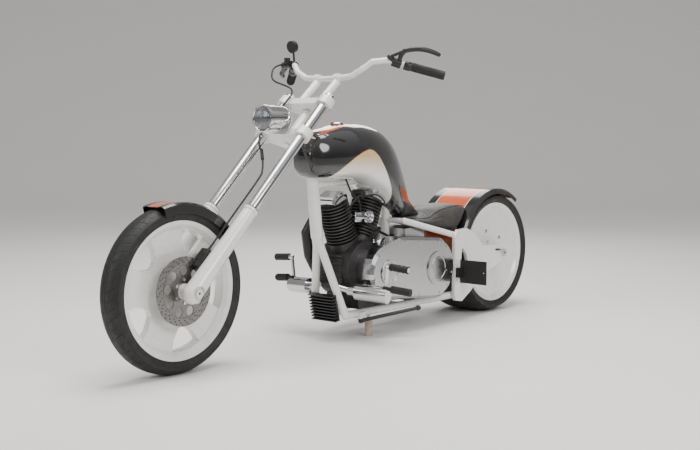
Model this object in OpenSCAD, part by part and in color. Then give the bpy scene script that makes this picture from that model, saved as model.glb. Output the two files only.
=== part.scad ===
// Long-fork chopper motorcycle.
// Millimetres. +X is the rider's left, -Y is forward, +Z is up.
// The origin is on the floor under the middle of the overall length.

/* [Overall] */

// Distance between the two wheel axles
wheelbase = 2165; // [1800:5:2600]
// Half of the distance between the handlebar ends
bar_half = 482; // [380:1:600]

/* [Front wheel] */

// Outer radius of the front tyre
front_tyre_r = 345; // [280:1:415]
// Width of the front tyre
front_tyre_w = 116; // [90:1:130]
// Half of the front tyre's flat tread band, as it stands loaded
front_tread_flat = 6; // [2:1:14]
// Radius of the front rim's flanges
front_rim_r = 285; // [230:1:300]
// Radius of the front brake rotor
rotor_r = 142; // [120:1:170]

/* [Rear wheel] */

// Outer radius of the rear tyre
rear_tyre_r = 328; // [290:1:390]
// Width of the rear tyre
rear_tyre_w = 300; // [240:1:330]
// Half of the rear tyre's flat tread band, as it stands loaded
rear_tread_flat = 40; // [20:1:60]
// Radius of the rear rim's flanges
rear_rim_r = 268; // [220:1:290]
// Radius of the rear drive pulley
pulley_r = 105; // [80:1:130]

/* [Fork] */

// Angle of the fork from the vertical, in degrees
rake = 46; // [34:0.5:50]
// Distance from the middle to each fork leg
fork_half = 120.5; // [110:0.5:140]
// Radius of the upper fork tubes
fork_tube_r = 24; // [20:0.5:28]
// Length from the axle to the top of the lower legs
leg_len = 440; // [350:5:520]
// Distance from the axle to the lower clamp, along the fork
lower_clamp_s = 904; // [800:2:1080]
// Distance between the two clamps, along the fork
clamp_gap = 200; // [160:2:240]
// Distance of the steering axis behind the fork legs
stem_offset = 50; // [40:1:60]

/* [Frame] */

// Outer radius of the head tube
neck_r = 31; // [27:0.5:36]
// Radius of the backbone and the upper down tube
main_tube_r = 29; // [22:0.5:32]
// Radius of the rails
rail_r = 19; // [15:0.5:22]
// Distance from the middle to each lower rail
rail_half = 95; // [80:1:110]
// Height of the lower rails' centre lines
rail_z = 125; // [110:1:150]
// Thickness of the rear side plates
plate_t = 18; // [12:1:24]

/* [Engine] */

// Height of the crankshaft
crank_z = 330; // [315:1:345]
// Half of the angle between the cylinders, in degrees
vee_half = 22.5; // [20:0.5:24]
// Outer radius of the cylinder fins
fin_r = 76; // [66:1:80]
// Half of the width of the crankcase
case_half = 100; // [90:1:105]

/* [Tank and seat] */

// Half of the width of the fuel tank
tank_half = 138; // [118:1:165]
// Height of the fuel tank above its lower edge at the middle
tank_rise = 289; // [240:1:340]
// Half of the width of the seat
seat_half = 140; // [110:1:160]

/* [Controls] */

// Radius of the handlebar
bar_r = 13; // [11:0.5:16]
// Radius of the hand grips
grip_r = 20; // [17:0.5:24]
// Distance from the middle to the outer end of each foot peg
peg_half = 420; // [360:1:460]

/* [Fits] */

// Clearance between fixed parts that fit in each other
seat_gap = 0.2; // [0.1:0.05:0.3]
// Clearance of the turning fits
run_gap = 0.08; // [0.04:0.01:0.1]

/* [Hidden] */

total_len = wheelbase + front_tyre_r + rear_tyre_r;
yf = -total_len / 2 + front_tyre_r;
zf = front_tyre_r;
yr = total_len / 2 - rear_tyre_r;
zr = rear_tyre_r;

// fork frame: s runs up along the fork from the axle, n points behind it
function fork(x, n, s) =
    [x, yf + n * cos(rake) + s * sin(rake), zf - n * sin(rake) + s * cos(rake)];
upper_clamp_s = lower_clamp_s + clamp_gap;
clamp_t = 36;
clamp_ball_r = fork_tube_r + 13;
stem_r = 12.5;
leg_top_r = 30;
leg_low_r = 41;
leg_bore_depth = 100;
boss_in = 92;
boss_out = fork_half + 27;
front_axle_r = 10;
front_axle_bore_r = 5;

// rear end
rear_axle_r = 12.5;
rear_axle_bore_r = 6;
plate_in = rear_tyre_w / 2 + 26;
plate_out = plate_in + plate_t;
fender_gap = 14;
fender_t = 4;
fender_half = rear_tyre_w / 2 + 10;
fender_r = rear_tyre_r + fender_gap + fender_t;

// main frame points
neck_top_s = upper_clamp_s - clamp_t / 2 - 4;
neck_low_s = lower_clamp_s + clamp_t / 2 + 4;
back_a = fork(0, stem_offset, (neck_top_s + neck_low_s) / 2 - 19);
back_b = [0, 215, 778];
brace_a = [0, -231, 738];
brace_b = [0, 120, 746];
down_a = back_a + (back_b - back_a) * 0.13;
seat_post_top = [0, 262, 748];
seat_post_mid = [0, 306, 590];
seat_post_low = [0, 306, rail_z];
down_b = [0, -204, 500];
down_c = [rail_half, -114, rail_z];
rail_end = [rail_half, 590, rail_z];
rail_out = [plate_in + 1, 690, rail_z + 22];
upper_a = [118, 306, 545];
upper_b = [plate_in + 1, 676, 448];

// engine
crank = [0, 36, crank_z];
case_r = 135;
deck = 150;
barrel_len = 160;
head_len = 45;
rocker_len = 42;

white = [0.90, 0.89, 0.87];
black = [0.03, 0.03, 0.035];
orange = [0.72, 0.24, 0.11];
chrome = [0.78, 0.78, 0.80];
dark = [0.14, 0.14, 0.15];
rubber = [0.05, 0.05, 0.05];
steel = [0.55, 0.55, 0.57];

// ---------- helpers ----------

// straight round bar from point a to point b
module rod(a, b, r, fn = 40) {
    d = b - a;
    l = norm(d);
    translate(a)
        rotate([0, acos(d[2] / l), atan2(d[1], d[0])])
            cylinder(h = l, r = r, $fn = fn);
}

// tapered round bar
module cone_rod(a, b, ra, rb, fn = 40) {
    d = b - a;
    l = norm(d);
    translate(a)
        rotate([0, acos(d[2] / l), atan2(d[1], d[0])])
            cylinder(h = l, r1 = ra, r2 = rb, $fn = fn);
}

module ball(p, r, fn = 40) {
    translate(p) sphere(r = r, $fn = fn);
}

// bars joined by balls along a list of points
module chain(pts, r, fn = 40) {
    for (i = [0 : len(pts) - 2]) rod(pts[i], pts[i + 1], r, fn);
    if (len(pts) > 2)
        for (i = [1 : len(pts) - 2]) ball(pts[i], r + 0.1, fn);
}

// cylinder along X between two x values
module xcyl(y, z, x0, x1, r, fn = 64) {
    translate([x0, y, z]) rotate([0, 90, 0]) cylinder(h = x1 - x0, r = r, $fn = fn);
}

// ring turned about the X axis through (y, z); the outline is in (radius, x)
module xspin(y, z, outline, fn = 160) {
    translate([0, y, z]) rotate([0, 90, 0]) rotate_extrude($fn = fn) polygon(outline);
}

// part of a ring about the X axis, from angle a0 to a1; 0 is backward, 90 is up
module xarc(y, z, outline, a0, a1, fn = 160) {
    translate([0, y, z])
        rotate([0, 90, 0])
            rotate([0, 0, a0 + 90])
                rotate_extrude(angle = a1 - a0, $fn = fn) polygon(outline);
}

// children placed in the fork frame: x, n behind the fork, s up along it
module in_fork() {
    translate([0, yf, zf]) rotate([-rake, 0, 0]) children();
}

module both() {
    children();
    mirror([1, 0, 0]) children();
}

function spow(v, e) = sign(v) * pow(abs(v), e);

// closed skin over a list of rings that all have the same number of points
module skin(rings) {
    n = len(rings[0]);
    m = len(rings);
    pts = [for (r = rings) each r];
    sides = [for (j = [0 : m - 2]) for (i = [0 : n - 1])
        [j * n + i, j * n + (i + 1) % n, (j + 1) * n + (i + 1) % n, (j + 1) * n + i]];
    ends = [[for (i = [n - 1 : -1 : 0]) i], [for (i = [0 : n - 1]) (m - 1) * n + i]];
    polyhedron(points = pts, faces = concat(ends, sides), convexity = 6);
}

// ---------- frame ----------

module neck_body(r) {
    rod(fork(0, stem_offset, neck_low_s), fork(0, stem_offset, neck_top_s), r, 64);
}

// head tube with the stem's bore right through
module frame_neck() {
    color(white) difference() {
        neck_body(neck_r);
        rod(fork(0, stem_offset, neck_low_s - 5), fork(0, stem_offset, neck_top_s + 5),
            stem_r + run_gap, 64);
    }
}

module backbone_tubes(grow) {
    chain([back_a, back_b, seat_post_top], main_tube_r + grow);
}

// backbone with the seat post behind the engine
module frame_backbone() {
    color(white) difference() {
        union() {
            backbone_tubes(0);
            chain([brace_a, brace_b, back_b], 15);
            ball(seat_post_top, main_tube_r + 0.1);
            cone_rod(seat_post_top, seat_post_mid, main_tube_r, 21);
            rod(seat_post_mid, seat_post_low, 21);
            ball(seat_post_mid, 21.1);
        }
        neck_body(neck_r);
        rod([-60, 306, rail_z], [60, 306, rail_z], rail_r - 5);
    }
}

// single front tube that splits into two
module frame_downtubes() {
    color(white) difference() {
        union() {
            rod(down_a, down_b, main_tube_r);
            ball(down_b, main_tube_r + 0.1);
            for (s = [-1, 1]) {
                rod(down_b, [s * down_c[0], down_c[1], down_c[2]], rail_r);
                ball([s * down_c[0], down_c[1], down_c[2]], rail_r + 0.1);
            }
        }
        neck_body(neck_r);
        backbone_tubes(0);
        rod(brace_a, brace_b, 15);
        for (s = [-1, 1]) rail_start(s);
    }
}

// length of lower rail that starts at the down tube
module rail_start(s) {
    rod([s * rail_half, down_c[1], rail_z], [s * rail_half, rail_end[1], rail_z], rail_r);
}

module frame_lower_rails() {
    color(white) difference() {
        union() {
            for (s = [-1, 1]) {
                rail_start(s);
                ball([s * rail_half, rail_end[1], rail_z], rail_r + 0.1);
                rod([s * rail_half, rail_end[1], rail_z],
                    [s * rail_out[0], rail_out[1], rail_out[2]], rail_r);
            }
            for (y = [-60, 306, 520])
                rod([-rail_half, y, rail_z], [rail_half, y, rail_z], rail_r - 5);
            // lug of the side stand
            translate([rail_half, stand_y - 22, rail_z - 22]) cube([32, 44, 30]);
        }
        for (s = [-1, 1]) plate_body(s);
        stand_pin_space();
    }
}

module upper_rail(s) {
    rod([s * upper_a[0], upper_a[1], upper_a[2]], [s * upper_b[0], upper_b[1], upper_b[2]], 16);
    ball([s * upper_a[0], upper_a[1], upper_a[2]], 16.1);
}

module frame_upper_rails() {
    color(white) difference() {
        union() {
            for (s = [-1, 1]) upper_rail(s);
            rod([-upper_a[0], upper_a[1], upper_a[2]], upper_a, 13);
        }
        for (s = [-1, 1]) plate_body(s);
        translate([0, 306, 480]) cylinder(h = 100, r = 21 + seat_gap, $fn = 64);
    }
}

// outline of a rear side plate in (y, z); its arm carries the rear axle
plate_outline = [[636, 142], [648, 116], [700, 106], [780, 150], [870, 220],
    [yr + 8, zr - 44], [yr + 40, zr - 30], [yr + 52, zr + 2], [yr + 36, zr + 34],
    [yr, zr + 44], [900, 380], [806, 458], [740, 484], [664, 480], [636, 440]];

module plate_body(s) {
    x0 = s > 0 ? plate_in : -plate_out;
    translate([x0, 0, 0])
        rotate([90, 0, 90]) linear_extrude(height = plate_t) polygon(plate_outline);
}

// two side plates with a window, an axle hole and an adjuster slot
module frame_plates() {
    color(white) difference() {
        union() for (s = [-1, 1]) plate_body(s);
        xcyl(yr, zr, -300, 300, rear_axle_r + seat_gap);
        translate([-300, 670, 200])
            rotate([90, 0, 90]) linear_extrude(height = 600)
                polygon([[10, 20], [60, 5], [100, 60], [70, 150], [30, 190]]);
    }
}

// ---------- side stand ----------

stand_y = -20;
stand_pin = [rail_half + 20, stand_y, rail_z - 28];
stand_tilt = 18.7;
stand_pin_r = 6;
stand_eye_r = 15;
stand_leg_r = 9;
stand_foot_r = 14;
// middle of the foot, folded up beside the rail
stand_foot = [262, 232, rail_z + 12];

// children placed with the stand's pivot along the local Z axis
module at_stand() {
    translate(stand_pin) rotate([stand_tilt, 0, 0]) children();
}

module stand_pin_space() {
    at_stand() translate([0, 0, -30]) cylinder(h = 60, r = stand_pin_r, $fn = 48);
    at_stand() translate([-40, -40, -30]) cube([80, 90, 38]);
}

// folded side stand with its pivot pin, eye, leg and round foot
module side_stand() {
    color(dark) union() {
        at_stand() translate([0, 0, -5]) cylinder(h = 27, r = stand_pin_r - run_gap, $fn = 48);
        at_stand() translate([0, 0, -13]) cylinder(h = 20, r = stand_eye_r, $fn = 48);
        rod(stand_pin + [5, 6, -4], stand_foot, stand_leg_r);
        ball(stand_foot, stand_foot_r);
    }
}

// ---------- tank and seat ----------

// each row: position along Y, lower edge, top edge, half width as a share of tank_half
tank_mid_z = 730;
tank_table = [[-296, 800, 950, 0.42], [-270, 775, 975, 0.62], [-220, 768, 990, 0.80],
    [-150, 764, 1003, 0.93], [-70, 762, 1018, 0.99], [0, 756, 1019, 1.0],
    [60, 742, 1018, 1.0], [120, 714, 1010, 0.98], [180, 688, 994, 0.93],
    [230, 656, 970, 0.86], [280, 612, 938, 0.76], [330, 574, 884, 0.63],
    [380, 550, 807, 0.50], [415, 550, 742, 0.40], [450, 552, 664, 0.31],
    [500, 552, 616, 0.25], [545, 552, 576, 0.18]];

function tank_z(v) = tank_mid_z + (v - tank_mid_z) * tank_rise / 289;

function tank_ring(row) = let(w = row[3] * tank_half, b = row[1], t = tank_z(row[2]),
    c = b + 0.42 * (t - b))
    [for (i = [0 : 35]) let(a = i * 10)
        [w * spow(cos(a), 0.78), row[0],
            sin(a) >= 0 ? c + (t - c) * spow(sin(a), 0.86) : c - (c - b) * spow(-sin(a), 0.55)]];

module tank_skin() {
    skin([for (r = tank_table) tank_ring(r)]);
}

// fuel tank with its tunnel over the backbone and the engine's heads
module tank() {
    w = main_tube_r + 3;
    up = 40;
    color(black) difference() {
        tank_skin();
        translate([-w, 0, 0]) rotate([90, 0, 90]) linear_extrude(height = 2 * w)
            polygon([[-340, 500], [-340, back_a[2] + up], [back_a[1], back_a[2] + up],
                [back_b[1], back_b[2] + up], [300, back_b[2]], [345, 500]]);
        translate([-fin_r - 16, -240, 500]) cube([2 * fin_r + 32, 496, 222]);
    }
}

// seat pad, crowned, following the rear fender underneath
seat_table = [[392, 531, 542, 0.40], [420, 529, 546, 0.66], [470, 517, 547, 0.82],
    [540, 499, 549, 0.92], [600, 484, 580, 0.98], [660, 468, 596, 1.0],
    [720, 452, 606, 1.0], [780, 440, 608, 0.97], [830, 460, 600, 0.90],
    [862, 500, 584, 0.72]];

function seat_ring(row) = let(w = row[3] * seat_half, b = row[1], t = row[2],
    c = b + 0.4 * (t - b))
    [for (i = [0 : 23]) let(a = i * 15)
        [w * spow(cos(a), 0.6), row[0],
            sin(a) >= 0 ? c + (t - c) * spow(sin(a), 0.8) : c - (c - b) * spow(-sin(a), 0.35)]];

module seat() {
    color([0.08, 0.07, 0.07]) difference() {
        skin([for (r = seat_table) seat_ring(r)]);
        xcyl(yr, zr, -300, 300, fender_r + 0.3, 160);
        for (s = [-1, 1]) rod([s * upper_a[0], upper_a[1], upper_a[2]],
            [s * upper_b[0], upper_b[1], upper_b[2]], 16.3);
    }
}

// ---------- rear fender ----------

fender_skirt = 318;
rear_fender_profile = [[fender_skirt, fender_half], [fender_r - 10, fender_half],
    [fender_r, fender_half - 10], [fender_r, 10 - fender_half], [fender_r - 10, -fender_half],
    [fender_skirt, -fender_half], [fender_skirt, fender_t - fender_half],
    [fender_r - fender_t - 8, fender_t - fender_half], [fender_r - fender_t, 12 - fender_half],
    [fender_r - fender_t, fender_half - 12], [fender_r - fender_t - 8, fender_half - fender_t],
    [fender_skirt, fender_half - fender_t]];

module rear_fender() {
    color(orange) difference() {
        union() {
            xarc(yr, zr, rear_fender_profile, 56, 186);
            for (s = [0, 1]) mirror([s, 0, 0])
                xcyl(772, 440, fender_half - 0.5, plate_in, 12, 48);
        }
        belt_loop(14, belt_x0 - 6, belt_x1 + 8);
    }
}

oil_half = case_half - 1;

module oil_tank() {
    color(steel) difference() {
        union() {
            translate([-oil_half, 338, 425]) cube([2 * oil_half, 160, 78]);
            translate([-18, 306, 440]) cube([36, 40, 30]);
        }
        rod(seat_post_mid, seat_post_low, 21 + seat_gap);
        for (s = [-1, 1]) rod([s * upper_a[0], upper_a[1], upper_a[2]],
            [s * upper_b[0], upper_b[1], upper_b[2]], 16 + seat_gap);
        xcyl(425, 425, -120, 120, 1.5);
    }
}

// ---------- engine ----------

// children placed on a cylinder's axis; k is -1 for the front one and 1 for the rear
module on_barrel(k) {
    translate(crank) rotate([-k * vee_half, 0, 0]) children();
}

module crankcase() {
    color(dark) difference() {
        union() {
            xcyl(crank[1], crank[2], -case_half, case_half, case_r, 96);
            translate([-case_half, crank[1] - 60, rail_z + rail_r + seat_gap])
                cube([2 * case_half, 245, 150]);
            translate([-62, crank[1] - 135, crank_z - 60]) cube([124, 90, 120]);
            for (k = [-1, 1]) on_barrel(k) cylinder(h = deck, r = fin_r, $fn = 64);
            translate([-70, crank[1] - 60, crank_z]) cube([140, 120, 104]);
        }
        for (k = [-1, 1]) on_barrel(k) translate([0, 0, deck])
            cylinder(h = 120, r = fin_r + seat_gap, $fn = 64);
        rod(seat_post_mid, seat_post_low, 21 + seat_gap);
        for (s = [-1, 1]) rod(down_b, [s * down_c[0], down_c[1], down_c[2]], rail_r + seat_gap);
        translate([-200, crank[1] - 300, 0]) cube([400, 900, rail_z + rail_r + seat_gap]);
    }
}

// finned barrel and head as one turned outline, above the deck
fin_n = 13;
fin_step = (barrel_len + head_len) / fin_n;
barrel_outline = concat([[0, 0]], [for (i = [0 : fin_n - 1]) each [
    [fin_r, i * fin_step], [fin_r, i * fin_step + 6],
    [fin_r - 18, i * fin_step + 6], [fin_r - 18, (i + 1) * fin_step]]],
    [[0, fin_n * fin_step]]);

module cylinders() {
    color(dark) difference() {
        for (k = [-1, 1]) on_barrel(k) translate([0, 0, deck + seat_gap])
            rotate_extrude($fn = 96) polygon(barrel_outline);
        on_barrel(0) translate([-90, -9, 0]) cube([180, 18, 230]);
    }
}

module rocker_boxes() {
    z0 = deck + barrel_len + head_len + 2 * seat_gap;
    color(chrome) for (k = [-1, 1]) on_barrel(k) translate([0, 0, z0]) {
        translate([-62, -46, 0]) cube([124, 92, 22]);
        translate([-54, -38, 22]) cube([108, 76, rocker_len - 28]);
        translate([-62, 0, 18]) rotate([0, 90, 0]) cylinder(h = 124, r = 18, $fn = 48);
    }
}

// intake between the heads, with the air cleaner on the right
module carburettor() {
    y = crank[1];
    z = crank_z + 250;
    color(chrome) difference() {
        union() {
            translate([-70, y - 60, z - 22]) cube([150, 120, 44]);
            xcyl(y, z, -135, -70, 32, 64);
            xcyl(y, z, -160, -135, 72, 96);
            xcyl(y, z, 80, 104, 26, 64);
        }
        for (k = [-1, 1]) on_barrel(k) cylinder(h = 500, r = fin_r + seat_gap, $fn = 96);
        barrel_space();
    }
}

module barrel_space() {
    z0 = deck + barrel_len + head_len;
    for (k = [-1, 1]) on_barrel(k) translate([-70, -52, z0]) cube([140, 104, 60]);
}

// primary drive cover on the left side
primary_in = case_half + 0.2;
primary_out = 200;

module primary_cover() {
    color(chrome) difference() {
        union() {
            hull() {
                primary_disc(85, 318, 128, 0);
                primary_disc(200, 385, 92, 0);
                primary_disc(475, 302, 152, 0);
            }
            xcyl(475, 302, primary_out, primary_out + 7, 84, 96);
            xcyl(85, 318, primary_out, primary_out + 5, 58, 96);
        }
        for (s = [1]) rod([s * rail_half, -200, rail_z], [s * rail_half, 700, rail_z], rail_r + 0.3);
    }
}

module primary_disc(y, z, r, d) {
    xcyl(y, z, primary_in, primary_out - 14, r, 32);
    xcyl(y, z, primary_out - 14, primary_out, r - 14, 32);
}

module transmission() {
    color(dark) difference() {
        union() {
            translate([-100, 345, rail_z + rail_r + seat_gap]) cube([200, 205, 190]);
            xcyl(475, 302, -100, 100, 108, 96);
            xcyl(475, 302, -155, -100, 62, 64);
            xcyl(475, 302, belt_x0 + 0.5, -155, front_pulley_r, 96);
            translate([-60, 335, 320]) cube([120, 120, 80]);
        }
        rod(seat_post_mid, seat_post_low, 21 + seat_gap);
        translate([-200, 300, 0]) cube([400, 400, rail_z + rail_r + seat_gap]);
        translate([-110, 330, 424]) cube([220, 200, 90]);
    }
}

// final drive belt on the right side, a flat loop round both pulleys
belt_x0 = -171.5;
belt_x1 = -155.5;
front_pulley_r = 46;
front_pulley = [0, 475, 302];

// outline of a loop round both pulleys, in (y, z)
function belt_arc(c, r, a0, a1) = [for (i = [0 : 32]) let(a = a0 + (a1 - a0) * i / 32)
    [c[0] + r * cos(a), c[1] + r * sin(a)]];

module belt_loop(grow, x0, x1) {
    a = [front_pulley[1], front_pulley[2]];
    b = [yr, zr];
    ra = front_pulley_r + grow;
    rb = pulley_r + grow;
    d = norm(b - a);
    tilt = atan2(b[1] - a[1], b[0] - a[0]);
    open = acos((ra - rb) / d);
    translate([x0, 0, 0]) rotate([90, 0, 90]) linear_extrude(height = x1 - x0)
        polygon(concat(belt_arc(a, ra + 0.05, tilt + open, tilt + 360 - open),
            belt_arc(b, rb + 0.15, tilt - open, tilt + open)));
}

module drive_belt() {
    color(rubber) difference() {
        belt_loop(7, belt_x0, belt_x1);
        belt_loop(0.4, belt_x0 - 1, belt_x1 + 1);
    }
}

// radius and wall of the exhaust pipes
pipe_r = 24;
pipe_wall = 2.5;

// middle line of the front (k = -1) or rear (k = 1) pipe, from its port to its open end
function exhaust_line(k) = let(head = crank + [0, k * 300 * sin(vee_half), 300 * cos(vee_half)])
    concat([head + [-fin_r - 0.3, 0, 0], head + [-106, 0, 0]], k > 0
        ? [[-164, 232, 470], [-200, 330, 300], [-210, 400, 262], [-222, 640, 250], [-224, 860, 250]]
        : [[-150, -116, 500], [-150, -96, 390], [-158, -40, 318], [-172, 40, 262], [-192, 160, 212],
            [-214, 400, 176], [-224, 820, 172]]);

module exhaust_path(k, grow) {
    chain(exhaust_line(k), pipe_r + grow, 32);
}

// inside of a pipe, from below the head bend to just past its open end
module exhaust_bore(k) {
    p = exhaust_line(k);
    n = len(p) - 1;
    chain(concat([for (i = [2 : n - 1]) p[i]], [p[n] + [0, 1, 0]]), pipe_r - pipe_wall, 32);
}

// two pipes along the right side
module exhaust_pipes() {
    color(black) difference() {
        union() {
            for (k = [-1, 1]) exhaust_path(k, 0);
            xcyl(657, 250, -222, -plate_out, 9, 32);
            xcyl(672, 172, -221, -plate_out, 9, 32);
        }
        for (k = [-1, 1]) exhaust_bore(k);
        xcyl(crank[1], crank_z + 250, -161, -134, 73, 64);
    }
}

// finned regulator between the split down tubes
module regulator() {
    lean = atan2(down_c[1] - down_b[1], down_b[2] - rail_z);
    front = -rail_r - seat_gap;
    color(black) translate([0, down_c[1], rail_z]) rotate([lean, 0, 0]) {
        translate([-76, front - 10, -20]) cube([152, 10, 128]);
        for (i = [0 : 8]) translate([-76, front - 30, -18 + i * 15]) cube([152, 21, 5]);
    }
}

// ---------- foot controls ----------

mount_a = [104, -98, 243];
mount_b = [300, -49, 231];

// lever, pad and the round mount of one side
module foot_controls() {
    color(chrome) both() difference() {
        union() {
            rod([52, -136, 262], mount_a, 14);
            ball(mount_a, 14.2);
            rod(mount_a, mount_a + [40, 8, -2], 22);
            rod(mount_a + [40, 8, -2], mount_b, 38, 64);
            rod(mount_b - [14, 3, -1], [300, -56, 368], 9);
            ball([300, -56, 368], 12.2);
            rod([300, -56, 368], [peg_half - 4, -45, 358], 12);
        }
        rod(down_b, [down_c[0], down_c[1], down_c[2]], rail_r + seat_gap);
        rod(peg_in, peg_out, 9 + seat_gap);
    }
}

peg_in = [284, -66, 268];
peg_out = [peg_half, -34, 254];

module foot_pegs() {
    color(rubber) both() union() {
        rod(peg_in, peg_in + (peg_out - peg_in) * 0.36, 9);
        rod(peg_in + (peg_out - peg_in) * 0.30, peg_out, 17, 48);
    }
}

// side bracket for the number plate, with its two bolt holes
module plate_bracket() {
    x0 = plate_out;
    color(black) difference() {
        union() {
            translate([x0 + 8, 672, 206]) cube([160, 4, 120]);
            translate([x0, 642, 236]) cube([24, 32, 50]);
        }
        for (x = [-55, 55]) translate([x0 + 96 + x, 690, 266])
            rotate([90, 0, 0]) cylinder(h = 30, r = 3.3, $fn = 32);
    }
}

// post that holds the machine upright, with its screw under the left rail
module prop_post() {
    color([0.75, 0.66, 0.62]) difference() {
        union() {
            translate([78, 80, 0]) cylinder(h = 86, r = 19, $fn = 64);
            translate([78, 80, 86]) cylinder(h = 30, r = 8, $fn = 48);
            translate([78, 80, 86]) cylinder(h = 6, r = 13, $fn = 6);
        }
        rod([rail_half, down_c[1], rail_z], [rail_half, 300, rail_z], rail_r + seat_gap);
    }
}

// hollow axle through both side plates, with a nut at each end
module rear_axle() {
    color(chrome) difference() {
        union() {
            xcyl(yr, zr, -plate_out - 12, plate_out + 12, rear_axle_r);
            for (s = [-1, 1]) xcyl(yr, zr, s > 0 ? plate_out : -plate_out - 12,
                s > 0 ? plate_out + 12 : -plate_out, 20);
        }
        xcyl(yr, zr, -plate_out - 20, plate_out + 20, rear_axle_bore_r);
    }
}

// rear brake caliper, on the inner face of the right plate
rear_rotor_x = -150;
rear_rotor_r = 140;

module rear_caliper() {
    color(black) difference() {
        translate([-plate_in, yr - 190, zr - 46]) cube([40, 62, 92]);
        xcyl(yr, zr, rear_rotor_x - 2.5, rear_rotor_x + 7.5, rear_rotor_r + 6, 96);
    }
}

// ---------- steering ----------

module clamp_at(s) {
    difference() {
        in_fork() translate([0, 0, s - clamp_t / 2]) union() {
            for (k = [-1, 1]) translate([k * fork_half, 0, -3])
                cylinder(h = clamp_t + 6, r = clamp_ball_r, $fn = 64);
            translate([0, stem_offset, 0]) cylinder(h = clamp_t, r = 34, $fn = 64);
            linear_extrude(height = clamp_t) polygon([[-fork_half, -24], [-70, -18], [70, -18],
                [fork_half, -24], [fork_half, 26], [34, stem_offset + 16],
                [-34, stem_offset + 16], [-fork_half, 26]]);
        }
        for (k = [-1, 1]) rod(fork(k * fork_half, 0, s - 60), fork(k * fork_half, 0, s + 60),
            fork_tube_r + seat_gap, 64);
        rod(fork(0, stem_offset, s - 60), fork(0, stem_offset, s + 60), stem_r + seat_gap, 64);
    }
}

module fork_clamps() {
    color(white) for (s = [lower_clamp_s, upper_clamp_s]) clamp_at(s);
}

module steering_stem() {
    color(chrome) union() {
        rod(fork(0, stem_offset, lower_clamp_s - clamp_t / 2 - 3),
            fork(0, stem_offset, upper_clamp_s + clamp_t / 2 + 6), stem_r, 64);
        rod(fork(0, stem_offset, upper_clamp_s + clamp_t / 2),
            fork(0, stem_offset, upper_clamp_s + clamp_t / 2 + 12), 20, 48);
        rod(fork(0, stem_offset, lower_clamp_s - clamp_t / 2 - 6),
            fork(0, stem_offset, lower_clamp_s - clamp_t / 2), 17, 48);
    }
}

module fork_tubes() {
    color(chrome) for (k = [-1, 1]) rod(fork(k * fork_half, 0, leg_len - leg_bore_depth + 1),
        fork(k * fork_half, 0, upper_clamp_s + clamp_t / 2 + 14), fork_tube_r, 64);
}

module leg_solid(k, grow = 0) {
    cone_rod(fork(k * fork_half, 0, -8), fork(k * fork_half, 0, leg_len), leg_low_r + grow,
        leg_top_r + grow, 64);
}

// lower legs, with the tube bores and the axle's bores
module fork_legs() {
    color(white) difference() {
        for (k = [-1, 1]) union() {
            leg_solid(k);
            ball(fork(k * fork_half, 0, -8), leg_low_r, 64);
            rod(fork(k * fork_half, 0, leg_len), fork(k * fork_half, 0, leg_len + 12),
                leg_top_r + 3, 64);
            xcyl(yf, zf, k > 0 ? boss_in : -boss_out, k > 0 ? boss_out : -boss_in, 30);
        }
        for (k = [-1, 1]) rod(fork(k * fork_half, 0, leg_len - leg_bore_depth),
            fork(k * fork_half, 0, leg_len + 20), fork_tube_r + seat_gap, 64);
        xcyl(yf, zf, -220, 220, front_axle_r + seat_gap);
        xcyl(yf, zf, -boss_in, boss_in, 46);
        for (k = [-1, 1]) xcyl(yf, zf, k > 0 ? boss_out : -boss_out - 60,
            k > 0 ? boss_out + 60 : -boss_out, 29);
    }
}

module front_axle() {
    color(chrome) difference() {
        union() {
            xcyl(yf, zf, -boss_out - 12, boss_out + 12, front_axle_r);
            for (k = [0, 1]) mirror([k, 0, 0]) xcyl(yf, zf, boss_out, boss_out + 12, 17);
        }
        xcyl(yf, zf, -boss_out - 20, boss_out + 20, front_axle_bore_r);
    }
}

// bullet headlamp on an arm from the lower clamp
lamp = [0, -394, 1042];
lamp_r = 58;
lamp_len = 160;

module headlamp() {
    color(chrome) difference() {
        union() {
            translate(lamp) rotate([90, 0, 0]) rotate_extrude($fn = 96)
                polygon(concat([[0, 0]], [for (i = [1 : 9])
                    [lamp_r * sin(i * 10), 60 - 60 * cos(i * 10)]],
                    [[lamp_r, lamp_len - 14], [lamp_r + 3, lamp_len - 12],
                    [lamp_r + 3, lamp_len - 2], [lamp_r - 4, lamp_len], [0, lamp_len]]));
            rod(fork(0, 6, lower_clamp_s + clamp_t / 2), lamp + [0, -40, -20], 13);
        }
        in_fork() translate([-60, -60, lower_clamp_s + clamp_t / 2 - 40]) cube([120, 120, 40]);
    }
}

// bar points of one side
bar_pts = [[0, -125, 1228], [60, -128, 1228], [140, -124, 1236], [200, -117, 1266],
    [240, -94, 1299], [287, -47, 1306], [350, 16, 1283], [bar_half - 4, 128, 1237]];

module handlebar() {
    top = fork(60, 18, upper_clamp_s + clamp_t / 2);
    color(white) difference() {
        union() {
            both() {
                chain(bar_pts, bar_r);
                cone_rod(top, [60, -130, 1214], 17, 19);
                rod([44, -128, 1228], [78, -127, 1229.5], 20);
            }
            ball(bar_pts[0], bar_r);
        }
        in_fork() translate([-100, -60, upper_clamp_s + clamp_t / 2 - 60]) cube([200, 160, 60]);
    }
}

grip_a = bar_pts[7] + (bar_pts[6] - bar_pts[7]) * 0.86;
grip_b = bar_pts[7] + (bar_pts[7] - bar_pts[6]) * 0.02;

module grips() {
    color(rubber) both() difference() {
        rod(grip_a, grip_b, grip_r, 48);
        chain([bar_pts[5], bar_pts[6], bar_pts[7]], bar_r + seat_gap);
    }
}

perch = [318, -16, 1294];

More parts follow.
